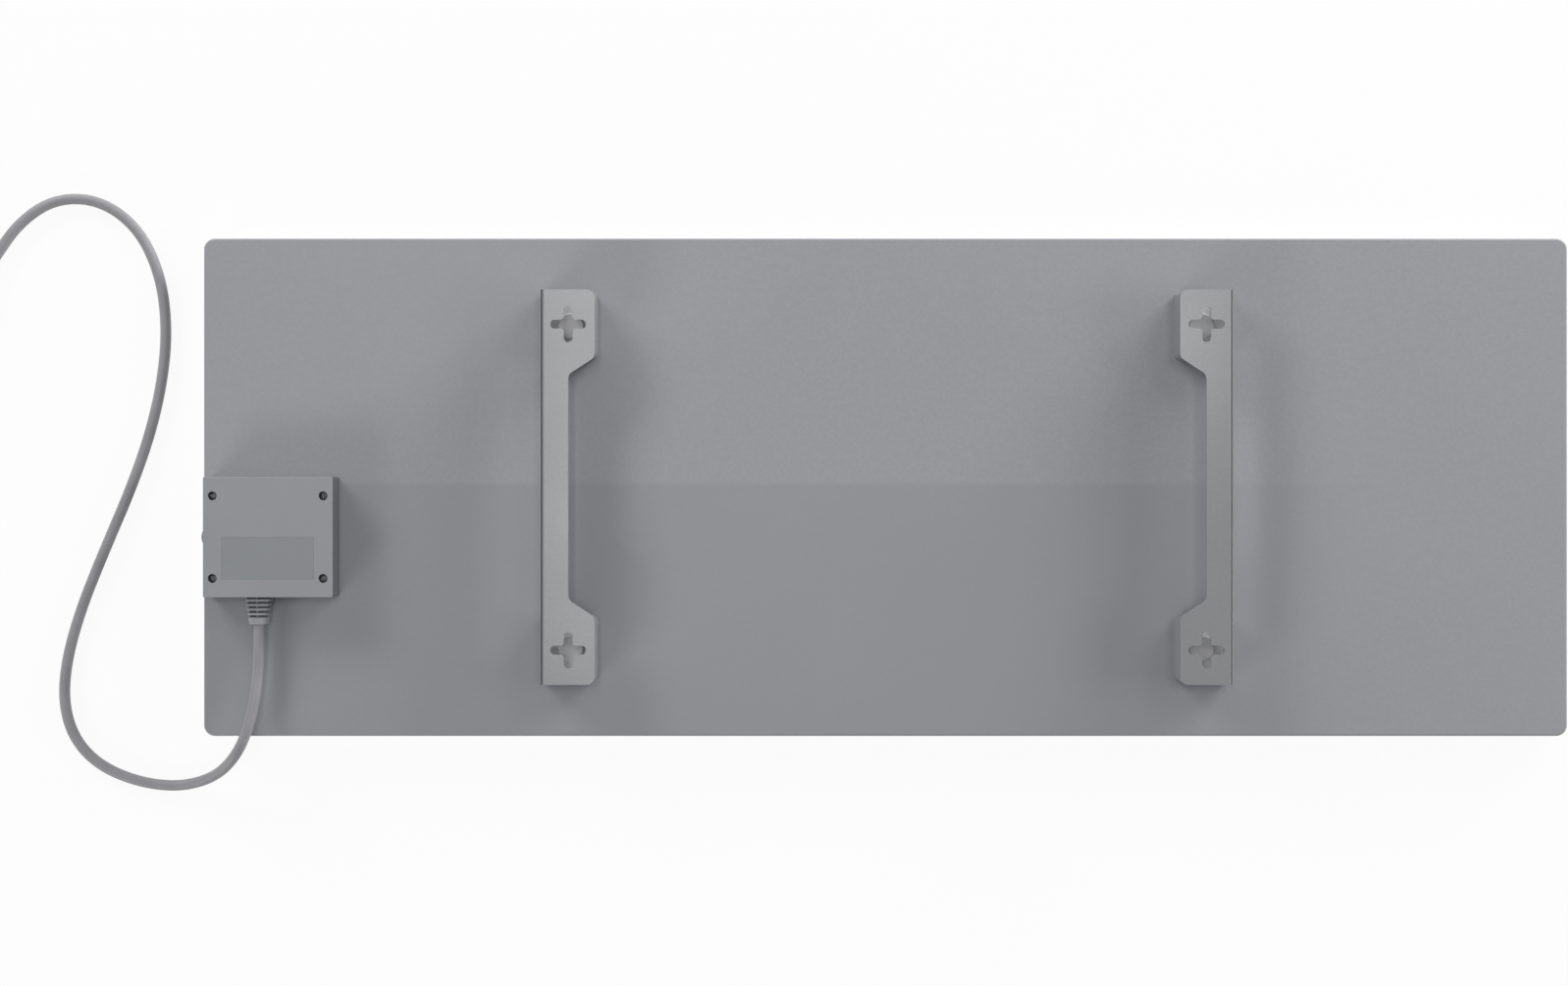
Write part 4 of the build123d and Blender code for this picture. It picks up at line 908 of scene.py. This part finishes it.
class HEATER_OT_junction_box(bpy.types.Operator):
    """Finish the junction box and lay the blank film in its label field"""

    bl_idname = "heater.junction_box"
    bl_label = "Junction Box"

    def execute(self, context):
        colours = context.scene.heater_colours
        sizes = context.scene.heater_sizes
        coat_nodes(box_moulding(colours.box_plastic, colours.box_side_shade), "box_base", "box_cover")
        film = moulded_plastic("label_film", colours.label_film, 0.42, grain=2600, depth=0.000004)
        add_piece("label_film", label_mesh(sizes), film)
        rubber_finish = finned_rubber(colours.relief_rubber, sizes)
        relief = add_piece("finned_relief", relief_mesh(sizes), rubber_finish)
        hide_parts("strain_relief")
        return {"FINISHED"}


def relief_mesh(sizes):
    """The strain relief: tapered fins and collar on a wide core, its rib, neck, flange and bore."""
    low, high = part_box("strain_relief")
    length = sizes.relief_length
    root = Vector(((low[0] + high[0]) / 2, low[1] + length, (low[2] + high[2]) / 2))
    inner = root.y - high[1]

    def fin(along):
        """Half width, half height and corner of a fin, some way out from the box."""
        width, height = (
            start + (end - start) * along / length for start, end in zip(FIN_ROOT, FIN_TIP)
        )
        return width, height, FIN_CORNER

    def core(along):
        """The same at the bottom of a groove."""
        width, height, corner = fin(along)
        return width - GROOVE_SIDE_DEPTH, height - GROOVE_TOP_DEPTH, corner

    flange, neck = (RELIEF_FLANGE,) * 3, (RELIEF_NECK,) * 3
    bore = (sizes.cord_diameter / 2 + RELIEF_PLAY,) * 3
    shoulder = inner + RELIEF_FLANGE_THICKNESS
    stations = [(inner, flange), (shoulder, flange), (shoulder, neck), (0, neck)]
    for groove in range(FIN_GROOVES):
        start = groove * sizes.fin_pitch
        end = start + sizes.fin_gap
        after = start + sizes.fin_pitch
        stations += [(start, core(start)), (end, core(end)), (end, fin(end)), (after, fin(after))]
    bevel = length - RELIEF_TIP_BEVEL
    stations[-1] = (bevel, fin(bevel))
    stations.append((length, [half - RELIEF_TIP_BEVEL for half in fin(length)]))
    stations += [(length, bore), (inner, bore)]
    build = bmesh.new()
    rings = [
        [
            build.verts.new(root + Vector((across, -along, up)))
            for across, up in rounded_outline(*size, 12)
        ]
        for along, size in stations
    ]
    for first, second in zip(rings, rings[1:] + rings[:1]):
        bridge(build, first, second)
    for up in (-1, 1):
        rib_ends = []
        for along in (0.0, (FIN_GROOVES - 1) * sizes.fin_pitch + sizes.fin_gap):
            foot, top = up * RIB_FOOT, up * (fin(along)[1] - RIB_DROP)
            rib_ends.append(
                [
                    build.verts.new(root + Vector((side * RIB_HALF_WIDTH, -along, height)))
                    for side, height in ((-1, foot), (1, foot), (1, top), (-1, top))
                ]
            )
        bridge(build, *rib_ends)
        build.faces.new(rib_ends[0])
        build.faces.new(rib_ends[1][::-1])
    bmesh.ops.recalc_face_normals(build, faces=build.faces)
    return mesh_from("finned_relief", build)


def label_mesh(sizes):
    """A thin film with rounded corners that lies in the cover's label field."""
    low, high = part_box("box_cover")
    centre_x = (low[0] + high[0]) / 2
    centre_y = (low[1] + high[1]) / 2 - sizes.label_drop
    half_width = sizes.label_width / 2 - LABEL_MARGIN
    half_height = sizes.label_height / 2 - LABEL_MARGIN
    outline = rounded_outline(half_width, half_height, LABEL_CORNER, 7)
    build = bmesh.new()
    bottom, top = [
        [build.verts.new((centre_x + across, centre_y + up, height)) for across, up in outline]
        for height in (
            high[2] - sizes.label_recess,
            high[2] - sizes.label_recess * LABEL_TOP_SHARE,
        )
    ]
    bridge(build, bottom, top)
    build.faces.new(top)
    build.faces.new(bottom[::-1])
    return mesh_from("label_film", build)


def recess_cutter(top, radius, depth):
    """A tapered cross, as a driver's tip, that reaches down from a height."""
    build = bmesh.new()
    for turn in (0, 90):
        arms = Matrix.Rotation(math.radians(turn), 4, "Z")
        upper, lower = [
            [
                build.verts.new(arms @ Vector((across * reach, up * half, height)))
                for across, up in ((-1, -1), (1, -1), (1, 1), (-1, 1))
            ]
            for height, reach, half in (
                (top + depth, radius * 1.15, radius * 0.2),
                (top - depth, radius * 0.45, radius * 0.14),
            )
        ]
        build.faces.new(upper)
        build.faces.new(lower[::-1])
        bridge(build, lower, upper)
    return mesh_from("driver_cross", build)


def pan_screw(head_radius, head_height, shank_radius, length):
    """A pan-head screw with a cross recess, its seat at height nought."""
    pitch = shank_radius * 0.42
    core = shank_radius * 0.82
    seat = head_radius * 0.97
    recess = 0.62
    threads = []
    for turn in range(int((length - head_height) / pitch)):
        crest = -head_height - turn * pitch
        threads += [(shank_radius, crest), (core, crest - pitch / 2)]
    profile = [(0, -length)] + threads[::-1] + [(shank_radius, 0), (seat, 0)]
    profile += rounded_rim(head_radius, head_height, head_radius, head_height * 0.65)
    build = bmesh.new()
    turned(build, profile, 32)
    bmesh.ops.recalc_face_normals(build, faces=build.faces)
    cutter = recess_cutter(head_height, head_radius * recess, head_height * recess)
    return cut_with(mesh_from("pan_screw", build), cutter)


class HEATER_OT_cover_screws(bpy.types.Operator):
    """Put cross-recessed screws in the cover's counterbores"""

    bl_idname = "heater.cover_screws"
    bl_label = "Cover Screws"

    def execute(self, context):
        sizes = context.scene.heater_sizes
        low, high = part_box("cover_screws")
        head = sizes.screw_head / 2
        seat = high[2] - sizes.screw_head_height
        screw = pan_screw(head, sizes.screw_head_height, sizes.screw_shank / 2, seat - low[2])
        places = [
            (x, y) for x in (low[0] + head, high[0] - head) for y in (low[1] + head, high[1] - head)
        ]
        build = bmesh.new()
        for turn, (x, y) in enumerate(places):
            spot = Matrix.Translation((x, y, seat)) @ Matrix.Rotation(0.5 + 0.9 * turn, 4, "Z")
            copy = screw.copy()
            copy.transform(spot)
            build.from_mesh(copy)
        blacking = plated("cover_screw", context.scene.heater_colours.cover_screw, 0.5)
        mesh = mesh_from("cover_screw_set", build)
        screws = add_piece("cover_screw_set", mesh, blacking)
        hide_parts("cover_screws")
        return {"FINISHED"}


class HEATER_OT_power_button(bpy.types.Operator):
    """Finish the power button and its plunger"""

    bl_idname = "heater.power_button"
    bl_label = "Power Button"

    def execute(self, context):
        colour = context.scene.heater_colours.button_plastic
        plastic = moulded_plastic("button_plastic", colour, 0.3, grain=3000, depth=0.000004)
        mesh = button_mesh(context.scene.heater_sizes)
        button = add_piece("button_cap", mesh, plastic, body=BUTTON)
        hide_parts("power_button")
        coat_nodes(moulded_plastic("plunger_plastic", (0.6, 0.58, 0.5), 0.35), "switch_plunger")
        return {"FINISHED"}


def button_mesh(sizes):
    """The button: stem and flange inside the wall, and a long cap with a rounded rim and a dish."""
    low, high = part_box("power_button")
    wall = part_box("box_base")[0][0]
    radius = sizes.button_diameter / 2
    flange = (high[1] - low[1]) / 2
    back, front = BUTTON_FLANGE
    reach = sizes.button_reach
    profile = [(0, wall - high[0]), (radius / 2, wall - high[0]), (radius / 2, back)]
    profile += [(flange, back), (flange, front), (radius, front)]
    profile += rounded_rim(radius, reach, BUTTON_RIM, BUTTON_RIM)
    profile += [(radius / 2, reach - BUTTON_DISH[0]), (0, reach - BUTTON_DISH[1])]
    build = bmesh.new()
    turned(build, profile, 48)
    bmesh.ops.recalc_face_normals(build, faces=build.faces)
    mesh = mesh_from("button_cap", build)
    seat = Matrix.Translation((wall, (low[1] + high[1]) / 2, (low[2] + high[2]) / 2))
    mesh.transform(seat @ Matrix.Rotation(math.radians(-90), 4, "Y"))
    return mesh


class HEATER_OT_inner_parts(bpy.types.Operator):
    """Finish what the casing and the box hold"""

    bl_idname = "heater.inner_parts"
    bl_label = "Inner Parts"

    def execute(self, context):
        coat_nodes(plated("element_plate", (0.72, 0.73, 0.74), 0.36, (1, 14, 1)), "element_sheet")
        coat_nodes(printed_film("track_film", (0.012, 0.012, 0.014)), "heating_track")
        coat_nodes(pressed_fibre("insulation_fibre", (0.7, 0.67, 0.56)), "insulation_board")
        coat_nodes(moulded_plastic("cutout_case", (0.025, 0.018, 0.014), 0.45), "thermal_cutout")
        coat_nodes(rubber("lead_sleeve", (0.68, 0.66, 0.6), 0.4), "element_leads")
        coat_nodes(rubber("grommet_rubber", (0.012, 0.012, 0.013), 0.62), "lead_grommet")
        coat_nodes(
            plated("inner_zinc", (0.5, 0.5, 0.49), 0.4),
            "bracket_nuts", "base_nuts", "base_screws",
            "board_screws", "clamp_screws", "earth_stud",
        )
        coat_nodes(plated("lug_brass", (0.72, 0.5, 0.2), 0.32), "earth_lug", "earth_nut")
        coat_nodes(board_laminate("board_mask", (0.015, 0.1, 0.045)), "control_board")
        coat_nodes(
            moulded_plastic("case_black", (0.014, 0.014, 0.015), 0.42),
            "power_relay", "power_module", "fuse_holder", "push_switch", "cord_clamp",
        )
        coat_nodes(moulded_plastic("capacitor_case", (0.7, 0.44, 0.05), 0.3), "filter_capacitor")
        coat_nodes(moulded_plastic("terminal_case", (0.05, 0.24, 0.09), 0.35), "terminal_block")
        coat_nodes(cloudy_ceramic("fuse_ceramic", (0.8, 0.78, 0.72)), "fuse")
        coat_nodes(rubber("core_sheath", (0.13, 0.05, 0.03), 0.4), "mains_wires")
        return {"FINISHED"}


# ---- Studio -----------------------------------------------------------------------------
# Each softbox: its name, place, width and height, and whether it hangs level overhead.
SOFTBOXES = (
    ("strip", (-0.44, 0.33, 3.0), (0.4, 1.5), True),
    ("small", (0.65, 0.5, 3.0), (0.5, 0.6), True),
    ("upper_left", (-1.99, 1.99, 1.03), (1.4, 0.6), False),
    ("lower_left", (-1.99, -1.99, 1.03), (1.4, 0.6), False),
    ("right", (2.82, 0.0, 1.03), (1.4, 0.6), False),
    ("upper_right", (1.67, 1.67, 1.85), (1.2, 1.0), False),
    ("skimming", (2.1, 2.1, 0.47), (1.6, 0.4), False),
)


def seen_directly(tree):
    """1 for rays that show the backdrop: from the camera, in a gloss or through a clear thing."""
    path = tree.nodes.new("ShaderNodeLightPath")
    total = path.outputs["Is Camera Ray"]
    for name in ("Is Glossy Ray", "Is Transmission Ray"):
        node = tree.nodes.new("ShaderNodeMath")
        node.operation = "MAXIMUM"
        tree.links.new(total, node.inputs[0])
        tree.links.new(path.outputs[name], node.inputs[1])
        total = node.outputs[0]
    return total


def white_floor():
    """White floor paper that keeps the soft shadow of what lies on it."""
    material = bpy.data.materials.new("floor_paper")
    material.use_nodes = True
    tree = material.node_tree
    shader = tree.nodes["Principled BSDF"]
    shader.inputs["Roughness"].default_value = 0.9
    shader.inputs["Base Color"].default_value = (0.9, 0.9, 0.9, 1)
    glow = tree.nodes.new("ShaderNodeEmission")
    share = tree.nodes.new("ShaderNodeMath")
    share.operation = "MULTIPLY"
    share.inputs[1].default_value = FLOOR_GLOW
    tree.links.new(seen_directly(tree), share.inputs[0])
    mix = tree.nodes.new("ShaderNodeMixShader")
    tree.links.new(share.outputs[0], mix.inputs["Fac"])
    tree.links.new(shader.outputs[0], mix.inputs[1])
    tree.links.new(glow.outputs[0], mix.inputs[2])
    tree.links.new(mix.outputs[0], tree.nodes["Material Output"].inputs["Surface"])
    return material


def softbox(name, place, size, power, overhead):
    """A rectangular lamp that hangs level, or faces the middle of the panel."""
    lamp = bpy.data.lights.new(name, "AREA")
    lamp.shape = "RECTANGLE"
    lamp.size, lamp.size_y = size
    lamp.energy = power
    piece = bpy.data.objects.new(name, lamp)
    piece.location = place
    if not overhead:
        piece.rotation_euler = (-Vector(place)).to_track_quat("-Z", "Y").to_euler()
    bpy.context.collection.objects.link(piece)


class HEATER_OT_studio(bpy.types.Operator):
    """Set the camera, the white floor and the softboxes"""

    bl_idname = "heater.studio"
    bl_label = "Studio"

    def execute(self, context):
        stage = context.scene.heater_stage
        lens = bpy.data.cameras.new("camera")
        lens.sensor_fit = "HORIZONTAL"
        lens.sensor_width = 36
        lens.lens = stage.camera_lens
        camera = bpy.data.objects.new("camera", lens)
        camera.location = stage.camera_place
        context.collection.objects.link(camera)
        context.scene.camera = camera
        build = bmesh.new()
        bmesh.ops.create_grid(build, x_segments=8, y_segments=8, size=6)
        floor = bpy.data.objects.new("floor", mesh_from("floor", build))
        floor.data.materials.append(white_floor())
        context.collection.objects.link(floor)
        for name, place, size, overhead in SOFTBOXES:
            softbox(name + "_softbox", place, size, getattr(stage, name + "_power"), overhead)
        self.surround(context.scene, stage.world_level)
        return {"FINISHED"}

    @staticmethod
    def surround(scene, level):
        """A white surround that lights little and is seen as white."""
        world = bpy.data.worlds.new("surround")
        world.use_nodes = True
        scene.world = world
        tree = world.node_tree
        background = tree.nodes["Background"]
        background.inputs["Color"].default_value = (1, 1, 1, 1)
        node = tree.nodes.new("ShaderNodeMapRange")
        node.inputs["To Min"].default_value = level
        node.inputs["To Max"].default_value = 1
        tree.links.new(seen_directly(tree), node.inputs["Value"])
        tree.links.new(node.outputs["Result"], background.inputs["Strength"])
        scene.view_settings.view_transform = "Standard"


class HEATER_PT_sidebar(bpy.types.Panel):
    """Sizes, colours and pieces of the heater"""

    bl_idname = "HEATER_PT_sidebar"
    bl_label = "Infrared Panel Heater"
    bl_space_type = "VIEW_3D"
    bl_region_type = "UI"
    bl_category = "Heater"

    def draw(self, context):
        for name in GROUPS:
            group = getattr(context.scene, name)
            column = self.layout.column(align=True)
            for setting in group.__annotations__:
                column.prop(group, setting)
        for operator in OPERATORS:
            self.layout.operator(operator.bl_idname)


OPERATORS = (
    HEATER_OT_studio,
    HEATER_OT_mains_cord,
    HEATER_OT_plug,
    HEATER_OT_casing,
    HEATER_OT_brackets,
    HEATER_OT_junction_box,
    HEATER_OT_cover_screws,
    HEATER_OT_power_button,
    HEATER_OT_inner_parts,
)
GROUPS = {"heater_sizes": HeaterSizes, "heater_colours": HeaterColours, "heater_stage": HeaterStage}


def register():
    for item in (*GROUPS.values(), *OPERATORS, HEATER_PT_sidebar):
        bpy.utils.register_class(item)
    for name, group in GROUPS.items():
        setattr(bpy.types.Scene, name, PointerProperty(type=group))


def unregister():
    for name in GROUPS:
        delattr(bpy.types.Scene, name)
    for item in reversed((*GROUPS.values(), *OPERATORS, HEATER_PT_sidebar)):
        bpy.utils.unregister_class(item)


def main():
    """Dress the heater and set its studio."""
    register()
    for operator in OPERATORS:
        space, name = operator.bl_idname.split(".")
        getattr(getattr(bpy.ops, space), name)()


if __name__ == "__main__":
    main()
